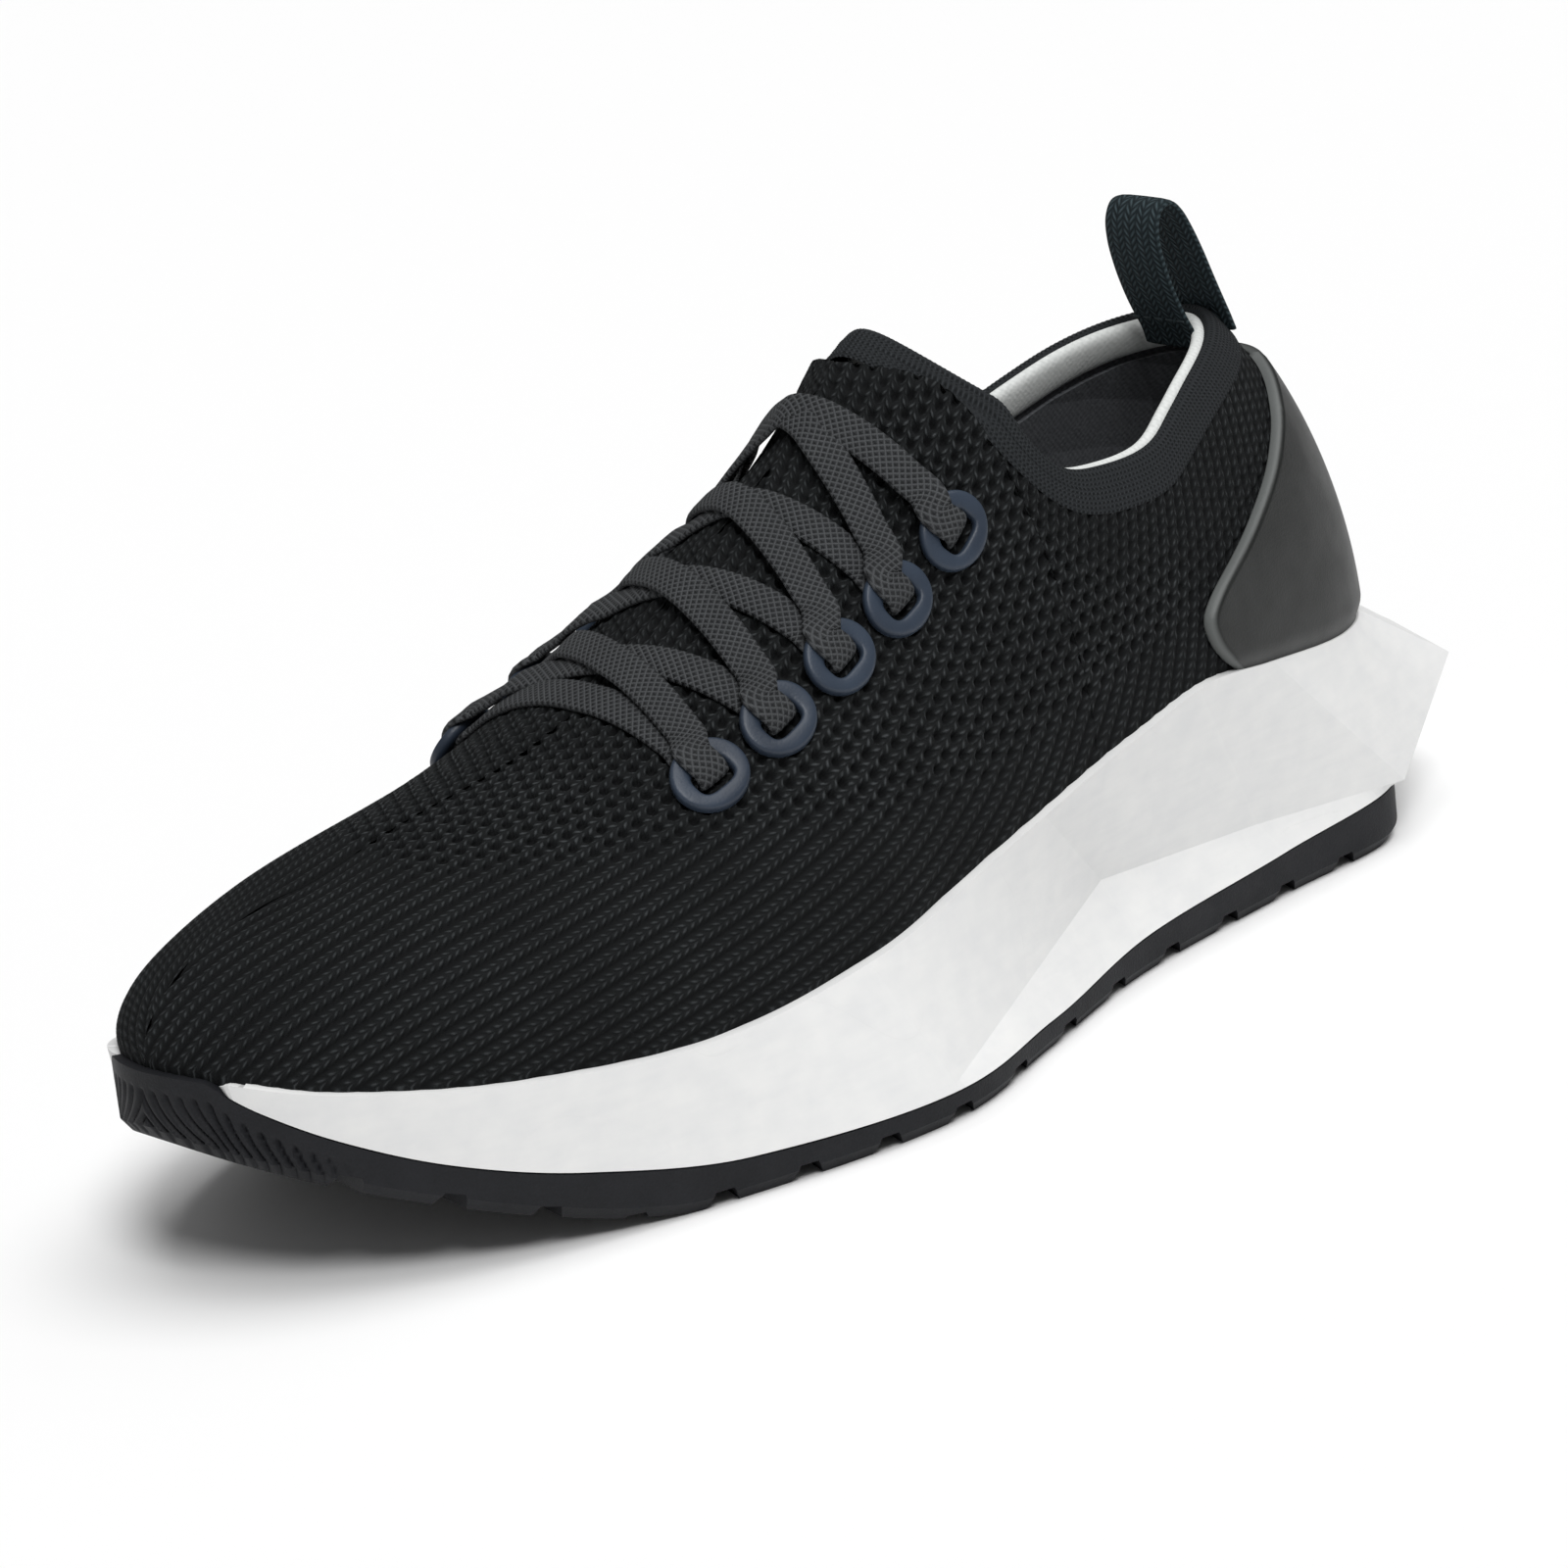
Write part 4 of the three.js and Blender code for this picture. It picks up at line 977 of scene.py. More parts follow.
# ---------------------------------------------------------------- collar
@dataclass
class Collar:
    """Ribbed cuff, padded pale binding and lining round the mouth."""

    last: Last
    line: CollarLine
    count: int = 420  # points on each side
    instep: float = 75.0  # points over which the front's shape fades out
    front_rise: tuple[float, float, float] = (1.2, 0, 2.6)
    cuff_depth: float = 7.2
    proud: float = 0.35
    soften: int = 60
    lining_inset: float = 4.6
    lining_drop: float = 16.0

    def __post_init__(self) -> None:
        """Finds the edge, and the way up from it."""
        self.edge, self.out = self.line.loop(0.0, self.count)
        lower, _ = self.line.loop(3.0, self.count)
        place = np.arange(len(self.edge))
        self.front = np.exp(-((np.minimum(place, len(place) - place) / self.instep) ** 2))
        self.edge, lower = (self.rounded(line) for line in (self.edge, lower))
        self.out = unit(close_blur(self.out, self.soften))
        self.up = unit(close_blur(unit(self.edge - lower), self.soften))
        self.out = unit(self.out - self.up * np.sum(self.out * self.up, -1, keepdims=True))
        self.run = run_length(self.edge)

    def rounded(self, line: Array) -> Array:
        """Line with its kinks softened, most of all over the instep, where it stands a little higher."""
        soft, round_ = close_blur(line, self.soften), close_blur(line, 8 * self.soften)
        share = self.front[:, None]
        return soft + (round_ - soft) * share + np.array(self.front_rise) * share

    def profile(self, shape: Sequence[tuple[float, float]]) -> Array:
        """Grid that carries a section of (outward, upward) steps round the edge."""
        steps = np.array(shape, float)
        return self.edge[None] + self.out[None] * steps[:, 0, None, None] + self.up[None] * steps[:, 1, None, None]

    def cuff(self, finish: Material) -> Piece:
        """Ribbed edge: up the outside, over and down behind the binding."""
        rows = []
        for margin in np.linspace(self.cuff_depth, 0.6, 14):
            points, normals = self.line.loop(float(margin), self.count)
            rise = self.proud * (0.6 + float(smoothstep(np.array(self.cuff_depth - margin), -0.4, 1.4)))
            rows.append(self.rounded(points) + unit(close_blur(normals, self.soften)) * rise)
        over = self.profile([
            (0.3, 0.1), (0.05, 0.65), (-0.5, 1.0), (-1.1, 1.0), (-1.7, 0.6), (-2.0, -0.4), (-2.1, -2.5)])
        grid = np.concatenate([np.stack(rows), over])
        ribs = np.cos(2 * math.pi * self.run / RibFinish().pitch)
        grid = grid + self.out[None] * (ribs * 0.06)[None, :, None]
        piece = grid_piece("cuff_ribs", grid, finish, flip=True, wrap_columns=True)
        drop = np.linspace(0, self.cuff_depth + 4, len(grid))
        write_uv(piece, "cuff", np.stack(np.broadcast_arrays(self.run, drop[:, None]), -1))
        return piece

    def binding(self, finish: Material) -> Piece:
        """Soft pale roll that shows above the cuff and down the inside."""
        grid = self.profile([
            (-1.7, -2.0), (-1.7, 0.4), (-1.95, 1.2), (-2.5, 1.75), (-3.2, 1.9), (-4.0, 1.6), (-4.6, 0.7),
            (-4.9, -0.8), (-5.1, -2.4), (-5.1, -4.2), (-4.7, -5.2), (-3.6, -5.4), (-2.4, -4.2)])
        return soften(grid_piece("collar_roll", grid, finish, flip=True, wrap_columns=True, wrap_rows=True))

    def lining(self, finish: Material) -> Piece:
        """Inner wall from the binding down to the insole."""
        halves = []
        for side in Side:
            turns = side.turns(0.13, 0.5, 220)
            ups = self.line.cut(turns, 3.6, self.lining_inset)[:, None] * np.linspace(0.0, 1.0, 60)
            halves.append(self.last.skin(turns[:, None], ups, self.lining_inset))
        grid = np.concatenate([halves[0], halves[1][-2::-1]])
        grid[:, 0, 2] -= self.lining_drop
        return grid_piece("inner_lining", grid, finish, flip=True)


# ---------------------------------------------------------------- sole
def fix_normals(piece: Piece) -> Piece:
    """Merges doubles and turns the faces of a closed body outwards."""
    work = bmesh.new()
    work.from_mesh(piece.data)
    bmesh.ops.remove_doubles(work, verts=work.verts, dist=1e-6)
    bmesh.ops.recalc_face_normals(work, faces=work.faces)
    work.to_mesh(piece.data)
    work.free()
    return piece


def loft(name: str, rings: Sequence[Array], finish: Material | None = None) -> Piece:
    """Closed body through rings of one size, shut across by quads.

    Args:
        name: the piece's name.
        rings: rings of points from the bottom up, all running the same way.
        finish: its material.

    Returns:
        The piece.
    """
    count = len(rings[0])
    faces = grid_faces(len(rings), count, wrap_columns=True)[:, ::-1].tolist()
    for base, step in ((0, 1), ((len(rings) - 1) * count, -1)):
        for i in range(count // 2):
            corners = (i, i + 1, count - i - 1, (count - i) % count)
            faces.append([base + c for c in dict.fromkeys(corners)][::step])
    return fix_normals(make_piece(name, np.concatenate(rings), faces, finish))


@dataclass
class Midsole:
    """White foam block with crisp facets: a valley at the waist and a flare behind the heel."""

    last: Last
    rim: float = 8.0
    wall: float = 2.9
    tread: float = 3.5
    edge: float = 0.9  # rounding of the facets' edges
    tuck: float = 1.4  # drop of the hidden rings behind the toe wrap
    wrap: tuple[float, float] = (-143.4, -140.6)  # stations over which the toe wrap covers the foam
    stations: int = 20
    per_station: int = 26
    # [station round the outline, x, y, z] of the wall's edge from behind the ball to the heel and back
    waist: Sequence[tuple[float, float, float, float]] = (
        (6, 38, -29.8, 17.5), (7, 80, -27.8, 14.5), (8, 118, -28.8, 11.5), (9, 144, -18.5, 27), (10, 152, 3, 28),
        (11, 144, 24.5, 27), (12, 118, 33.7, 11.5), (13, 80, 30.2, 14.5), (14, 38, 26.8, 17.5))
    # [station, share of the wall's height] of that edge in front of it, where the wall is straight
    straight: Sequence[tuple[float, float]] = ((3, 0.5), (4, 0.05), (16, 0.05), (17, 0.5))
    # station on the wall's edge and the station on the top that it runs to
    pairing: Sequence[tuple[float, float]] = ((0, 0), (4, 4), (6, 5.5), (7, 6.6), (8, 7.1), (9, 8.8), (10, 10))

    def __post_init__(self) -> None:
        """Spreads the points round the outline."""
        self.count = self.stations * self.per_station
        self.station = np.arange(self.count) / self.per_station

    def top_turns(self) -> Array:
        """Turns of the top's points, paired so that the facets' corners run to the right places."""
        marks = np.array(self.pairing)
        marks = np.vstack([marks, (self.stations - marks)[::-1][1:]])
        return np.interp(self.station, *marks.T) / self.stations

    def waist_ring(self, low: Array, high: Array) -> Array:
        """Edge part way up the wall from its low ring to its high one, straight between its corners."""
        edge = low + (high - low) * np.interp(self.station, *np.array(self.straight).T)[:, None]
        first, final = (int(self.straight[k][0] * self.per_station) for k in (1, 2))
        ends = [[self.station[i], *edge[i]] for i in (first, final)]
        marks = np.vstack([ends[0], self.waist, ends[1]])
        inside = slice(first, final + 1)
        edge[inside] = np.stack([np.interp(self.station[inside], marks[:, 0], line) for line in marks[:, 1:].T], -1)
        return edge

    def build(self, finish: Material) -> Piece:
        """Makes the block, with its edges slightly rounded."""
        last, ring, paired = self.last, self.last.ring, self.top_turns()

        def tucked(height: Height) -> Height:
            """Height curve that drops behind the toe wrap."""
            return lambda x: height(x) - self.tuck * (x < -140)

        covered = (1 - smoothstep(last.bottom.at(self.station / self.stations)[:, 0], *self.wrap))[:, None]
        behind = ring(last.bottom, 3.4, lambda x: last.sole_edge(x) - self.tuck, self.count)
        low, high = ring(last.bottom, 0, last.sole_edge, self.count), ring(last.top, 0, last.sole_top, paired)
        wall = [line + (behind - line) * covered for line in (low, self.waist_ring(low, high), high)]
        piece = loft("midsole", [
            ring(last.bottom, self.wall, lambda x: last.ground(x) + self.tread + FIT_GAP, self.count),
            ring(last.bottom, self.wall, tucked(last.sole_edge), self.count),
            *wall,
            ring(last.top, self.rim, tucked(last.sole_top), paired),
            ring(last.top, self.rim + FIT_GAP, last.footbed, paired),
        ], finish)
        modifier = piece.modifiers.new("edge_round", "BEVEL")
        modifier.width = self.edge * MM
        modifier.segments = 3
        modifier.limit_method = "ANGLE"
        modifier.angle_limit = math.radians(26)
        modifier.harden_normals = True
        apply_modifiers(piece).data.shade_flat()
        return piece


@dataclass
class Outsole:
    """Rubber cup with a toe wrap, and chevron lugs underneath."""

    last: Last
    wall: float = 2.6
    lug: float = 2.2
    base: float = 1.3
    groove: float = 3.4
    pitch: float = 16.5
    rows: int = 15  # chevrons under the shoe
    first_row: float = -121.15
    slant: float = 0.32  # turn of the chevrons, in radians
    reach: float = 107.0  # length of a chevron's arm
    channel: float = 209.0
    channel_middle: float = 14.9
    toe_grooves: float = 0.8
    toe_pitch: float = 2.7
    toe_reach: tuple[float, float] = (26, 44)  # run from the toe's tip over which its grooves fade
    plain_band: float = 2.6
    count: int = 640
    crowd: float = 0.8

    def level(self, inset: float, height: Height) -> Array:
        """Ring of the cup, with its points packed at the toe."""
        return self.last.ring(self.last.bottom, inset, height, self.count, self.crowd)

    def side_wall(self) -> list[Array]:
        """Rings up the wall, with grooves that sweep back from the toe."""
        last = self.last
        low = self.level(0, lambda x: last.ground(x) + self.lug)
        high = self.level(0, lambda x: last.sole_edge(x) - FIT_GAP)
        inward = self.level(1.0, last.ground) - self.level(0, last.ground)
        run = run_length(np.vstack([low, low[:1]]))
        run = np.minimum(run, run[-1] - run)[:-1]
        zone = 1 - smoothstep(run, *self.toe_reach)
        rings = []
        for share in np.linspace(0, 1, 26):
            ring = low + (high - low) * share
            drop = np.maximum(high[:, 2] - ring[:, 2] - self.plain_band, 0)
            sweep = (run - 0.1 * drop**2) / self.toe_pitch
            cut = np.abs(np.cos(math.pi * sweep)) ** 5 * smoothstep(drop, 0.0, 1.2)
            rings.append(ring + inward * (cut * zone * self.toe_grooves)[:, None])
        return rings

    def grooves(self) -> Piece:
        """Solid that cuts chevrons across the tread and one channel along it."""
        work = bmesh.new()
        last = self.last

        def bar(size: tuple[float, float, float], place: Matrix) -> None:
            """Adds one bar, wider at the ground."""
            made = bmesh.ops.create_cube(work, size=1.0)
            for vertex in made["verts"]:
                if vertex.co.z < 0:
                    vertex.co.x *= 2.6
            bmesh.ops.transform(work, matrix=place @ Matrix.Diagonal((*size, 1)), verts=made["verts"])

        for row in range(self.rows):
            x = self.first_row + row * self.pitch
            slope = math.atan2(float(last.ground(x + 4) - last.ground(x - 4)), 8)
            for side in (-1, 1):
                turned = Matrix.Rotation(-slope, 4, "Y") @ Matrix.Rotation(side * self.slant, 4, "Z")
                turned.translation = (x, 0, float(last.ground(x)))
                bar((self.groove, self.reach, self.lug * 2.6), turned @ Matrix.Translation((0, side * 53, 0)))
        bar((self.channel, self.groove, self.lug * 2), Matrix.Translation((self.channel_middle, 0, 0)))
        mesh = bpy.data.meshes.new("tread_grooves")
        work.to_mesh(mesh)
        work.free()
        mesh.transform(Matrix.Scale(MM, 4) @ Matrix.Translation(LAST_TO_ROW.tolist()))
        return link(bpy.data.objects.new("tread_grooves", mesh))

    def build(self, finish: Material) -> Piece:
        """Makes the cup and cuts its tread."""
        last = self.last
        piece = loft("outsole", [
            self.level(1.6, last.ground), *self.side_wall(),
            self.level(self.wall, lambda x: last.sole_edge(x) - FIT_GAP),
            self.level(self.wall, lambda x: last.ground(x) + self.lug + self.base)])
        cutter = self.grooves()
        cut = piece.modifiers.new("tread", "BOOLEAN")
        cut.object = cutter
        cut.operation = "DIFFERENCE"
        cut.solver = "EXACT"
        cut.use_self = True
        apply_modifiers(piece)
        bpy.data.objects.remove(cutter)
        piece.data.set_sharp_from_angle(angle=math.radians(32))
        piece.data.materials.clear()
        piece.data.materials.append(finish)
        return piece


@dataclass
class Insole:
    """Lift-out foam insole with a cloth top."""

    last: Last
    lift: float = 1.8
    thickness: float = 4.5
    inset: float = 8.6

    def build(self, finish: Material) -> Piece:
        """Makes the sheet with softly raised edges."""
        last = self.last

        def level(inset: float, lift: float) -> Array:
            """One ring of the sheet."""
            return last.ring(last.top, inset, lambda x: last.footbed(x) + lift, 200)

        top = self.lift + self.thickness
        return loft("insole", [
            level(self.inset + 0.6, self.lift), level(self.inset, self.lift + 0.8), level(self.inset, top - 0.6),
            level(self.inset + 0.7, top), level(self.inset + 5, top - 0.4)], finish)


# ---------------------------------------------------------------- heel counter
@dataclass
class HeelCounter:
    """Moulded film round the back of the heel, with a paler edge."""

    last: Last
    thickness: float = 1.35
    clearance: float = 0.35
    edge_round: float = 0.8
    shell: float = 0.9
    low: float = 36.0
    high: float = 89.5
    rows: int = 90
    columns: int = 100  # vertices on each side
    # (height, station of the front edge)
    front: Sequence[tuple[float, float]] = (
        (30, 75), (45, 75), (49, 71), (52.5, 68.2), (56.2, 67.2), (59.3, 70), (66.7, 83.4), (74.2, 95),
        (77.9, 99.5), (81, 103), (84, 106), (89, 112))

    def half(self, side: Side) -> Array:
        """Grid of places and normals on one side, six numbers each, from the front edge to the heel."""
        marks = catmull(np.array(self.front, float), 8)
        turns, ups = side.turns(0.3, 0.5, 400), np.linspace(0, 0.95, 300)
        index = np.arange(len(turns))
        skin = self.last.skin(turns[:, None], ups)
        rows = []
        for height in np.linspace(self.low, self.high, self.rows):
            level = np.maximum(skin[:, 0, 2] - 3.0, height)
            up = np.array([np.interp(z, line[:, 2], ups) for z, line in zip(level, skin)])
            path = self.last.skin(turns, up)
            path[:, 2] = level
            first = np.interp(np.interp(height, *marks.T), path[:, 0], index)
            places = first + (index[-1] - first) * (1 - np.cos(np.linspace(0, math.pi / 2, self.columns)))
            both = np.hstack([path, self.last.normal(turns, np.maximum(up, 0.01))])
            rows.append(np.stack([np.interp(places, index, line) for line in both.T], -1))
        return np.stack(rows)

    def build(self, finish: Material) -> Piece:
        """Makes the shell, thinned where it tucks in behind the foam."""
        halves = [self.half(side) for side in Side]
        grid = np.concatenate([halves[0], halves[1][:, -2::-1]], 1)
        points, normals = grid[..., :3], unit(grid[..., 3:])
        run = run_length(points, 1)
        gap = np.minimum(np.minimum(run, run[:, -1:] - run), np.maximum(self.high - points[..., 2], 0))
        rise = np.sqrt(1 - (1 - np.clip(gap / self.edge_round, 0, 1)) ** 2)
        foot = 0.1 + 0.9 * smoothstep(points[..., 2] - points[:1, :, 2], 2.6, 6.5)
        points = points + normals * (self.clearance + self.thickness * rise * foot)[..., None]
        piece = grid_piece("counter_shell", points, finish)
        write_value(piece, "rim", 1 - smoothstep(gap, 0.35, 0.65))
        shell = piece.modifiers.new("shell", "SOLIDIFY")
        shell.thickness = self.shell * MM
        shell.offset = -1
        return apply_modifiers(piece)


# ---------------------------------------------------------------- lacing
@dataclass
class Lacing:
    """Ten moulded rings and one flat lace that crosses between them."""

    last: Last
    rows: int = 5
    ring_length: float = 14.6
    ring_height: float = 12.4
    pitch: float = 15.6
    top_x: float = 15.2
    width: float = 6.5
    thickness: float = 1.5
    clearance: float = 0.12
    spine_limit: float = 0.985  # highest climb at which directions are read
    hole_shift: float = 0.6
    hole_height: float = 4.6
    tilt: float = 0.17  # rise of the ring towards the throat, per millimetre
    wall: float = 2.9
    # (share of the way in to the hole, height) round the ring's section
    section: Sequence[tuple[float, float]] = (
        (0.03, -0.75), (0.0, 0.2), (0.02, 0.8), (0.1, 1.2), (0.25, 1.36), (0.55, 1.42), (0.82, 1.34),
        (0.95, 1.1), (1.0, 0.55), (1.0, -0.4), (0.9, -0.75), (0.5, -0.8))

    def __post_init__(self) -> None:
        """Works out the heights that the lace takes over and under the rings."""
        self.ring_lift = 1.5 + self.clearance
        self.over = self.ring_lift + 2.2
        self.under = 0.9
        self.cross = self.under + 1.5

    def place(self, row: int, side: Side) -> tuple[float, float]:
        """Station and climb of a ring; row 0 is the front one."""
        share = (self.rows - 1 - row) / (self.rows - 1)
        top, bottom = (0.51, 0.55) if side is Side.OUTER else (0.47, 0.46)
        return self.top_x - (self.rows - 1 - row) * self.pitch, top + (bottom - top) * share

    def frame(self, row: int, side: Side) -> Frame:
        """Place and directions of a ring."""
        return self.last.frame_at(*self.place(row, side), side)

    def ring(self, row: int, side: Side, finish: Material) -> Piece:
        """Moulded ring: low on the sole side, raised on the throat side for the lace below it."""
        here, down, along, normal = self.frame(row, side)
        angle = np.arange(56) / 56 * 2 * math.pi
        outer = np.stack([np.cos(angle) * self.ring_length / 2, np.sin(angle) * self.ring_height / 2], -1)
        inner = np.stack([squared(np.cos(angle), 0.55) * (self.width + 1.0) / 2,
                          squared(np.sin(angle), 0.6) * self.hole_height / 2 + self.hole_shift], -1)
        rings = []
        for share, height in self.section:
            plan = outer + (inner - outer) * share
            tilt = 1.35 - plan[:, 1] * self.tilt
            rings.append(here + along * plan[:, :1] + down * plan[:, 1:] + normal * (height + tilt)[:, None])
        name = f"ring_{side.name.lower()}_{row + 1}"
        return soften(fix_normals(grid_piece(name, np.stack(rings), finish, wrap_columns=True, wrap_rows=True)))

    def point(self, at: Frame, down: float, lift: float) -> tuple[Array, Array]:
        """Centre of the lace and its width's direction, on a ring's frame."""
        here, fall, along, normal = at
        return here + fall * down + normal * lift, along

    def round_bar(self, row: int, side: Side, from_top: bool) -> list[tuple[Array, Array]]:
        """Lace over the ring's bar, down the hole and back out under it."""
        at = self.frame(row, side)
        bar, middle = -self.ring_height / 2, self.hole_shift + 0.2
        half = bar / 2 - 1.2
        path = [self.point(at, half, self.over),
                self.point(at, middle - 1.1, self.over - 0.7), self.point(at, middle + 0.2, 1.7),
                self.point(at, middle - 1.1, self.under + 0.1), self.point(at, half, self.under)]
        return path if from_top else path[::-1]

    def strap(self, start: Hole, end: Hole, leaves: bool, arrives: bool) -> list[tuple[Array, Array]]:
        """Lace across the throat from ring to ring.

        Args:
            start: row and side of the ring it leaves.
            end: row and side of the ring it reaches.
            leaves: whether it leaves from above the first ring's bar.
            arrives: whether it arrives above the second ring's bar.

        Returns:
            Centres and width directions.
        """
        x0, x1 = self.place(*start)[0], self.place(*end)[0]
        on_top = leaves if start[1] is Side.OUTER else arrives
        shares, middle = np.linspace(0, 1, 61), (x0 + x1) / 2
        run = run_length(np.array([self.last.frame_at(middle, *self.climb(start, end, share))[0] for share in shares]))
        near = self.ring_height / 2 + 1.4
        path = []
        for distance in np.linspace(near, run[-1] - near, 15):
            share = float(np.interp(distance, run, shares))
            up, side = self.climb(start, end, share)
            across = abs(start[1].value + (end[1].value - start[1].value) * share)
            at = self.last.frame_at(x0 + (x1 - x0) * distance / run[-1], up, side)
            path.append(self.point(at, 0, self.lift(across, leaves if share < 0.5 else arrives, on_top)))
        return path

    def climb(self, start: Hole, end: Hole, share: float) -> tuple[float, Side]:
        """Climb and side of the foot a share of the way from one ring to another."""
        up0, up1 = self.place(*start)[1], self.place(*end)[1]
        across = start[1].value + (end[1].value - start[1].value) * share
        up = min(1 - (1 - (up0 + (up1 - up0) * share)) * abs(across), self.spine_limit)
        return up, Side.OUTER if across < 0 else Side.INNER

    def lift(self, distance: float, over: bool, on_top: bool) -> float:
        """Height of the lace off the knit at a distance from the spine, 1 being the ring."""
        middle = self.cross if on_top else self.under
        settled = self.cross if over else self.under
        near = float(smoothstep(np.array(distance), 0.4, 0.62))
        far = float(smoothstep(np.array(distance), 0.72, 0.92))
        height = middle + (settled - middle) * near
        return height + ((self.over if over else self.under) - height) * far

    def tail(self, side: Side) -> list[tuple[Array, Array]]:
        """Last end: over the top ring, down its hole and along the inside of the knit."""
        at = self.frame(self.rows - 1, side)
        inside = -(self.wall + 2.45)
        bar, shift = -self.ring_height / 2, self.hole_shift
        steps = [(bar / 2 - 1.2, self.over), (shift - 0.9, self.over - 0.7),
                 (shift, self.ring_lift), (shift, 0), (shift, inside + 1.4), (shift + 1.2, inside - 0.6),
                 (shift + 5, inside - 1.8), (shift + 10, inside - 4)]
        return [self.point(at, *step) for step in steps]

    def lace(self, finish: Material) -> Piece:
        """The whole lace as one braided band."""
        order = [(4, Side.OUTER), (3, Side.INNER), (2, Side.OUTER), (1, Side.INNER), (0, Side.OUTER),
                 (0, Side.INNER), (1, Side.OUTER), (2, Side.INNER), (3, Side.OUTER), (4, Side.INNER)]
        leaving = [True, False, False, False, False, True, True, True, True]
        arriving = [True, True, True, True, False, False, False, False, True]
        path = self.tail(Side.OUTER)[::-1]
        for run, (start, end) in enumerate(zip(order, order[1:])):
            path += self.strap(start, end, leaving[run], arriving[run])
            if run < len(order) - 2:
                path += self.round_bar(*end, arriving[run])
        path += self.tail(Side.INNER)
        centre, wide = (catmull(np.array(line), 5) for line in zip(*path))
        log.info("lace length %.3f m", run_length(centre)[-1] * MM)
        return strip_piece("braided_lace", centre, wide, (self.width, self.thickness), finish, 14)


# ---------------------------------------------------------------- pull loop
class StitchRow:
    """Rows of raised thread stitches, placed by geometry nodes on a line of points."""

    def __init__(self, length: float = 2.1, thread: float = 0.45) -> None:
        """Builds the node tree; sizes in millimetres."""
        tree = bpy.data.node_groups.new("stitch_row", "GeometryNodeTree")
        face = tree.interface
        face.new_socket("Geometry", in_out="INPUT", socket_type="NodeSocketGeometry")
        self.sizes = {}
        for label, value in (("Stitch length", length), ("Thread", thread)):
            socket = face.new_socket(label, in_out="INPUT", socket_type="NodeSocketFloat")
            self.sizes[socket.identifier] = value * MM
        self.finish_socket = face.new_socket("Finish", in_out="INPUT", socket_type="NodeSocketMaterial").identifier
        face.new_socket("Geometry", in_out="OUTPUT", socket_type="NodeSocketGeometry")
        start = add_node(tree, "NodeGroupInput")
        end = add_node(tree, "NodeGroupOutput")
        bead = add_node(tree, "GeometryNodeMeshUVSphere", {"Segments": 10, "Rings": 8, "Radius": 0.5})
        _, length_in, thread_in, finish_in = list(start.outputs)[:4]
        scale = add_node(tree, "ShaderNodeCombineXYZ", {0: length_in, 1: thread_in, 2: thread_in})
        aim = add_node(tree, "GeometryNodeInputNamedAttribute", {"Name": "aim"}, data_type="FLOAT_VECTOR")
        turned = add_node(tree, "FunctionNodeAlignRotationToVector", {"Vector": aim.outputs[0]}, axis="X")
        copies = add_node(tree, "GeometryNodeInstanceOnPoints", {
            "Points": start.outputs[0], "Instance": bead.outputs[0],
            "Rotation": turned.outputs[0], "Scale": scale.outputs[0]})
        real = add_node(tree, "GeometryNodeRealizeInstances", {0: copies.outputs[0]})
        dressed = add_node(tree, "GeometryNodeSetMaterial", {0: real.outputs[0], "Material": finish_in})
        smooth = add_node(tree, "GeometryNodeSetShadeSmooth", {0: dressed.outputs[0]})
        tree.links.new(smooth.outputs[0], end.inputs[0])
        self.tree = tree

    def build(self, name: str, points: Array, aims: Array, finish: Material) -> Piece:
        """Stitches at points, each lying along its aim."""
        piece = make_piece(name, points, [])
        aim = piece.data.attributes.new("aim", "FLOAT_VECTOR", "POINT")
        aim.data.foreach_set("vector", np.asarray(aims, np.float32).ravel())
        modifier = piece.modifiers.new("stitches", "NODES")
        modifier.node_group = self.tree
        modifier[self.finish_socket] = finish
        for socket, size in self.sizes.items():
            modifier[socket] = size
        return apply_modifiers(piece)


@dataclass
class PullLoop:
    """Folded webbing sewn to the heel of the collar."""

    width: float = 13.0
    thickness: float = 1.5
    seam: tuple[float, float] = (94.7, 100.6)
    path: Sequence[tuple[float, float]] = (
        (107.6, 96.2), (106.4, 99.2), (104.9, 102.6), (103.0, 107.0), (100.9, 112.0), (98.6, 116.8), (96.4, 120.4),
        (94.2, 122.3), (91.9, 122.0), (90.4, 119.6), (90.3, 115.6), (91.5, 110.4), (93.4, 105.2), (95.4, 101.0),
        (96.9, 98.2), (97.9, 95.2))

    def build(self, finish: Material) -> Piece:
        """The webbing."""
        line = catmull(np.array([(x, 0, z) for x, z in self.path], float), 8)
        wide = np.tile(np.array([0.0, 1.0, 0.0]), (len(line), 1))
        return strip_piece("pull_webbing", line, wide, (self.width, self.thickness), finish, 16)

    def stitches(self, rows: StitchRow, finish: Material) -> Piece:
        """The bar of stitches that holds the inside end."""
        x, z = self.seam
        points = np.array([(x, y, z) for y in np.linspace(-1, 1, 5) * (self.width / 2 - 1.2)])
        return rows.build("pull_loop_stitches", points, np.tile([0, 1, 0], (len(points), 1)), finish)


# ---------------------------------------------------------------- studio
def bearing(azimuth: float, elevation: float) -> Vector:
    """Way from the shoe to something seen at an azimuth and elevation, in degrees."""
    az, el = math.radians(azimuth), math.radians(elevation)
    return Vector((math.sin(az) * math.cos(el), -math.cos(az) * math.cos(el), math.sin(el)))


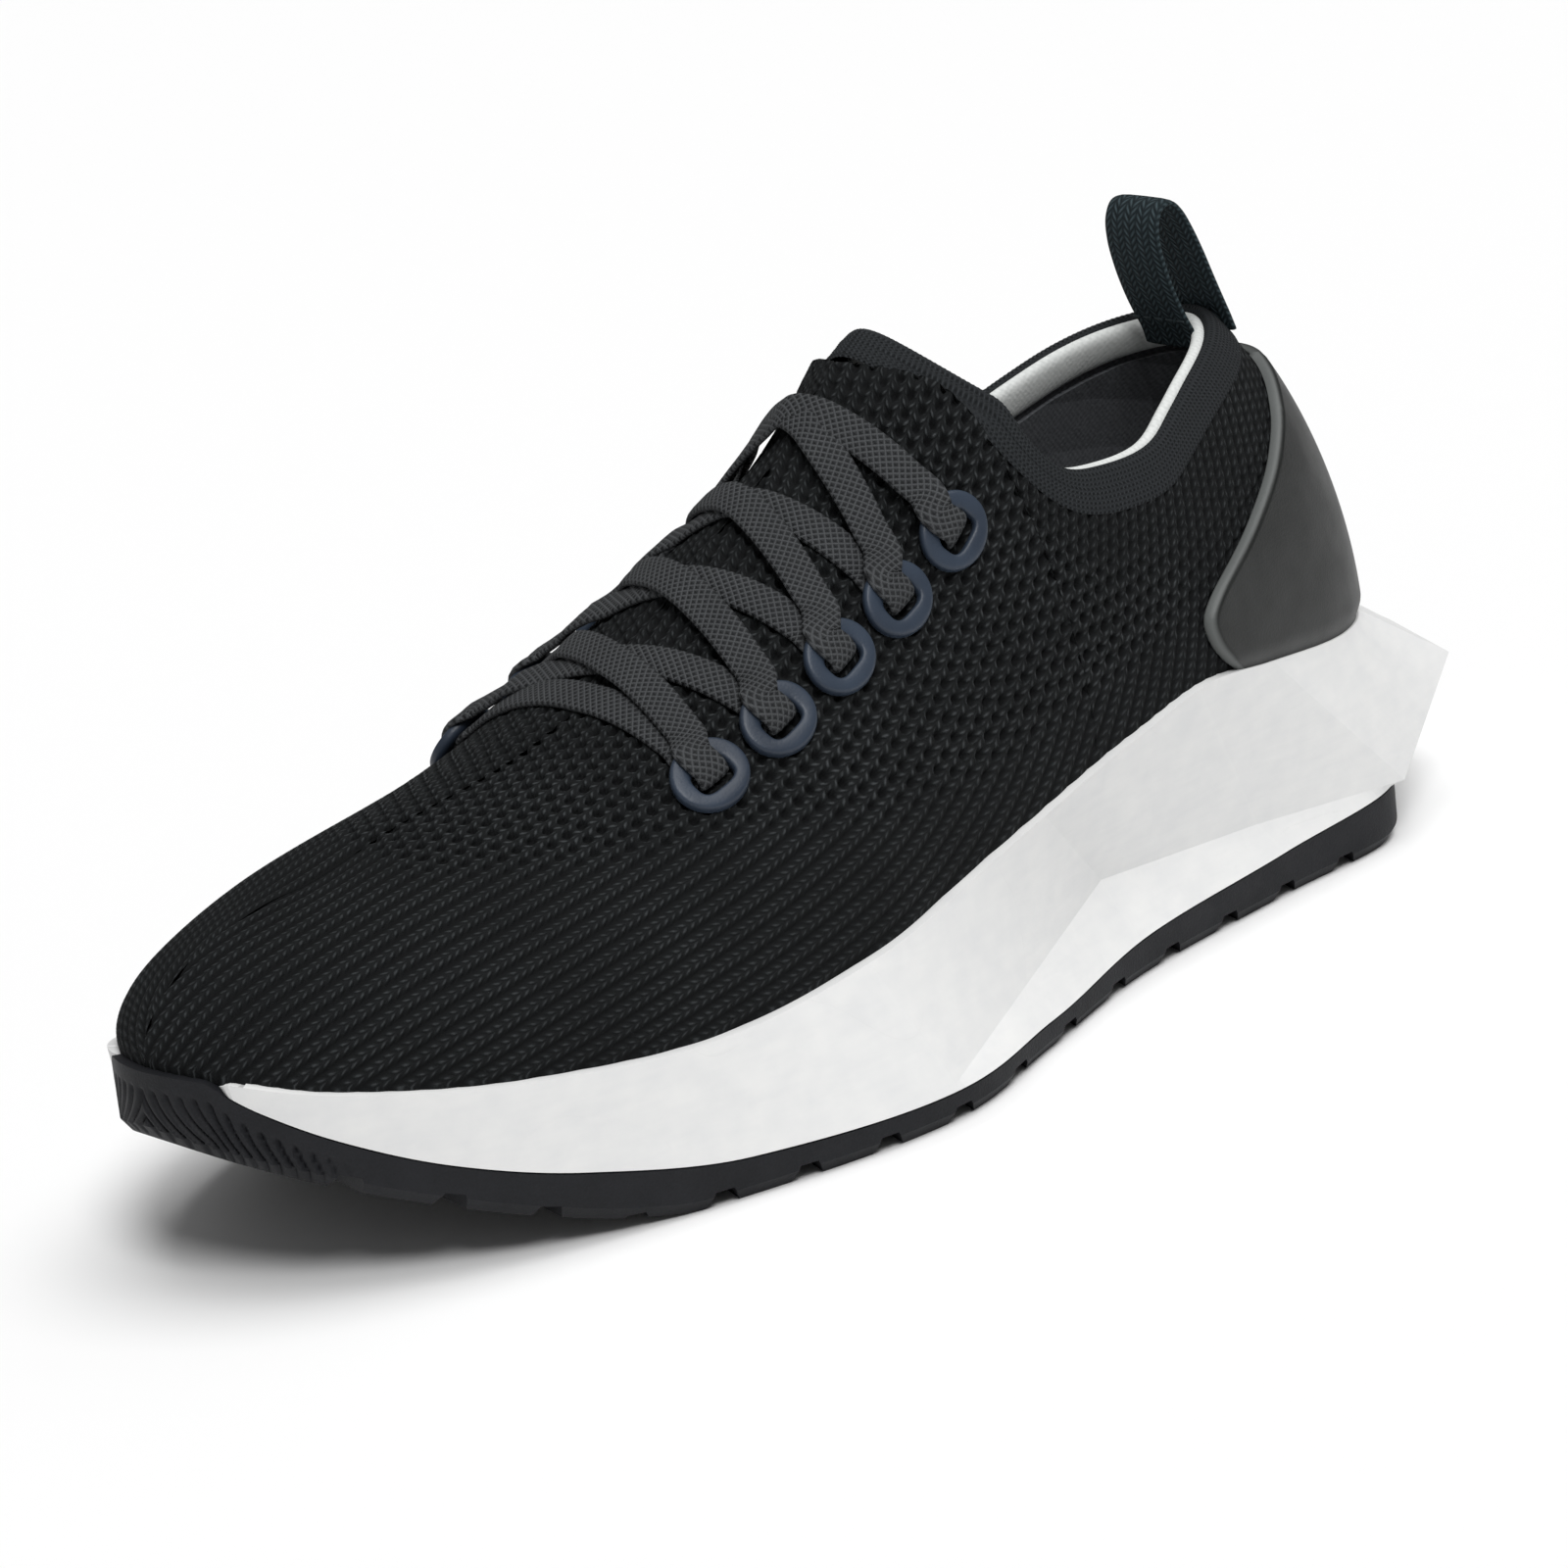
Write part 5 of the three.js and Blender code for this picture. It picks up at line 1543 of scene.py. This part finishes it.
@dataclass
class Studio:
    """Camera, pale floor and soft light."""

    azimuth: float = -41.26
    elevation: float = 17.82
    roll: float = -6.47
    shift: tuple[float, float] = (-7.51, 5.97)
    distance: float = 1016.3
    target: tuple[float, float, float] = (-12.75, 8.9, 50.0)
    lens: float = 137.07
    floor_reach: float = 9.0

    def camera(self) -> None:
        """Places the camera."""
        back, roll = bearing(self.azimuth, self.elevation), math.radians(self.roll)
        right = (-back).cross(Vector((0, 0, 1))).normalized()
        up = right.cross(-back)
        turned_right = right * math.cos(roll) + up * math.sin(roll)
        turned_up = up * math.cos(roll) - right * math.sin(roll)
        data = bpy.data.cameras.new("camera")
        data.lens = self.lens
        data.sensor_width = 36.0
        data.clip_end = 30.0
        matrix = Matrix((turned_right, turned_up, back)).transposed().to_4x4()
        aim = Vector(self.target) - turned_right * self.shift[0] - turned_up * self.shift[1]
        matrix.translation = (aim + back * self.distance) * MM
        camera = link(bpy.data.objects.new("camera", data))
        camera.matrix_world = matrix
        bpy.context.scene.camera = camera

    def soft_sun(self, name: str, azimuth: float, elevation: float, spread_angle: float, strength: float) -> None:
        """Adds one broad, even light from far away; angles in degrees."""
        data = bpy.data.lights.new(name, "SUN")
        data.angle = math.radians(spread_angle)
        data.energy = strength
        light = link(bpy.data.objects.new(name, data))
        light.rotation_euler = (-bearing(azimuth, elevation)).to_track_quat("-Z", "Y").to_euler()

    def light(self) -> None:
        """White world, a broad light in front and one overhead."""
        world = bpy.data.worlds.new("studio")
        world.use_nodes = True
        background = world.node_tree.nodes["Background"]
        background.inputs[0].default_value = (1, 1, 1, 1)
        background.inputs[1].default_value = 0.22
        bpy.context.scene.world = world
        bpy.context.scene.view_settings.view_transform = "Standard"
        self.soft_sun("front_light", -30, 52, 20, 1.5)
        self.soft_sun("top_light", 30, 78, 50, 1.55)

    def floor(self) -> Piece:
        """Plain pale floor."""
        mesh = bpy.data.meshes.new("studio_floor")
        corners = [(x * self.floor_reach, y * self.floor_reach, 0) for x, y in ((-1, -1), (1, -1), (1, 1), (-1, 1))]
        mesh.from_pydata(corners, [], [(0, 1, 2, 3)])
        mesh.materials.append(FilmFinish("matte_paper_floor", 0.9, "#f8f8f8", "#f8f8f8", 0.0).build())
        return link(bpy.data.objects.new("studio_floor", mesh))


# ---------------------------------------------------------------- assembly
def bend_with_ball(piece: Piece) -> None:
    """Bakes a piece's placement into its mesh."""
    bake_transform(piece)


def surface_area(piece: Piece) -> float:
    """Area of a piece's mesh in square metres."""
    areas = np.empty(len(piece.data.polygons), np.float32)
    piece.data.polygons.foreach_get("area", areas)
    return float(areas.sum())


def dress_hidden(nodes: dict[str, Piece]) -> None:
    """Gives the inner stiff and padded parts their own materials."""
    board = LiningFinish("nonwoven_lasting_board", "#a59d8c", "#cfc8b6", 900.0).build()
    stiff = FilmFinish("pressed_fibre_stiffener", 0.7, "#a8a59b", "#c4c1b7", 0.1).build()
    foam = LiningFinish("cut_open_cell_foam", "#4a4c4f", "#6c6e72", 1700.0).build()
    film = FilmFinish("hot_melt_backing_film", 0.4, "#202224", "#303336", 0.04).build()
    tips = FilmFinish("crimped_acetate_lace_tip", 0.22, "#25272a", "#3a3c40", 0.01).build()
    for first, second, finish in (
        ("strobel_board_forefoot", "strobel_board_rearfoot", board), ("heel_stiffener", "toe_puff", stiff),
        ("collar_foam", "instep_pad", foam), ("eyestay_outer", "eyestay_inner", film),
        ("aglet_outer", "aglet_inner", tips),
    ):
        for name in (first, second):
            nodes[name].data.materials.clear()
            nodes[name].data.materials.append(finish)


def main() -> None:
    """Builds the shoe piece by piece, ties the stiff pieces to the rear body and hides the imported parts they
    replace.
    """
    logging.basicConfig(level=logging.INFO, format="%(name)s: %(message)s")
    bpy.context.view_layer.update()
    last = Last()
    line = CollarLine(last)
    studio = Studio()
    studio.camera()

    def place(piece: Piece, slot: str, nodes: Sequence[str], bends: bool = False) -> Piece:
        """Ties a piece to the rear body, or only bakes its placement if it bends, and hides the imported nodes that it
        stands in for.
        """
        if bends:
            bend_with_ball(piece)
        else:
            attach(piece, "rearfoot")
        if nodes:
            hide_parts(*nodes)
        log.info("%s: %d faces", piece.name, len(piece.data.polygons))
        return piece

    lacing = Lacing(last)
    place(lacing.lace(BraidFinish().build()), "lace", ["lace"])
    satin = FilmFinish("moulded_tpu_ring", 0.4, "#272f3b", "#364150", 0.05).build()
    for side in Side:
        for row in range(lacing.rows):
            ring = lacing.ring(row, side, satin)
            place(ring, "moulded_ring", [f"eyelet_{side.name.lower()}_{row + 1}"])

    upper = KnittedUpper(last, line, KnitFinish().build())
    for side in Side:
        half = place(upper.half(side), "knit", ["knit_toe_box", "knit_flex_zone", "knit_quarters"], bends=True)
        surface_area(half)

    collar = Collar(last, line)
    place(collar.cuff(RibFinish().build()), "rib_knit", ["collar_rib_band"])
    pale = LiningFinish("brushed_tricot_binding", "#cfd2d0", "#eceeec", 1500.0).build()
    binding = place(collar.binding(pale), "pale_binding", ["collar_binding"])
    place(collar.lining(LiningFinish().build()), "lining", ["foot_lining"])

    midsole = Midsole(last).build(FoamFinish().build())
    place(midsole, "foam", ["midsole_forefoot", "midsole_rearfoot"], bends=True)
    outsole = Outsole(last).build(RubberFinish().build())
    place(outsole, "rubber", ["outsole_toe", "outsole_ball", "outsole_heel"], bends=True)
    insole = Insole(last).build(LiningFinish("knit_faced_foam_insole", "#55575a", "#77797c", 1200.0).build())
    place(insole, "insole", ["insole_forefoot", "insole_rearfoot"], bends=True)

    place(HeelCounter(last).build(CounterFinish().build()), "counter_film", ["heel_counter"])
    loop = PullLoop()
    strap = loop.build(WebbingFinish().build())
    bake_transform(strap)
    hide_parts("pull_loop", "pull_loop_root_back", "pull_loop_root_front")
    thread = FilmFinish("bonded_polyester_thread", 0.6, "#20282b", "#39464a", 0.02).build()
    place(loop.stitches(StitchRow(), thread), "webbing", [])

    dress_hidden(frame["nodes"])
    studio.light()
    studio.floor()


if __name__ == "__main__":
    main()
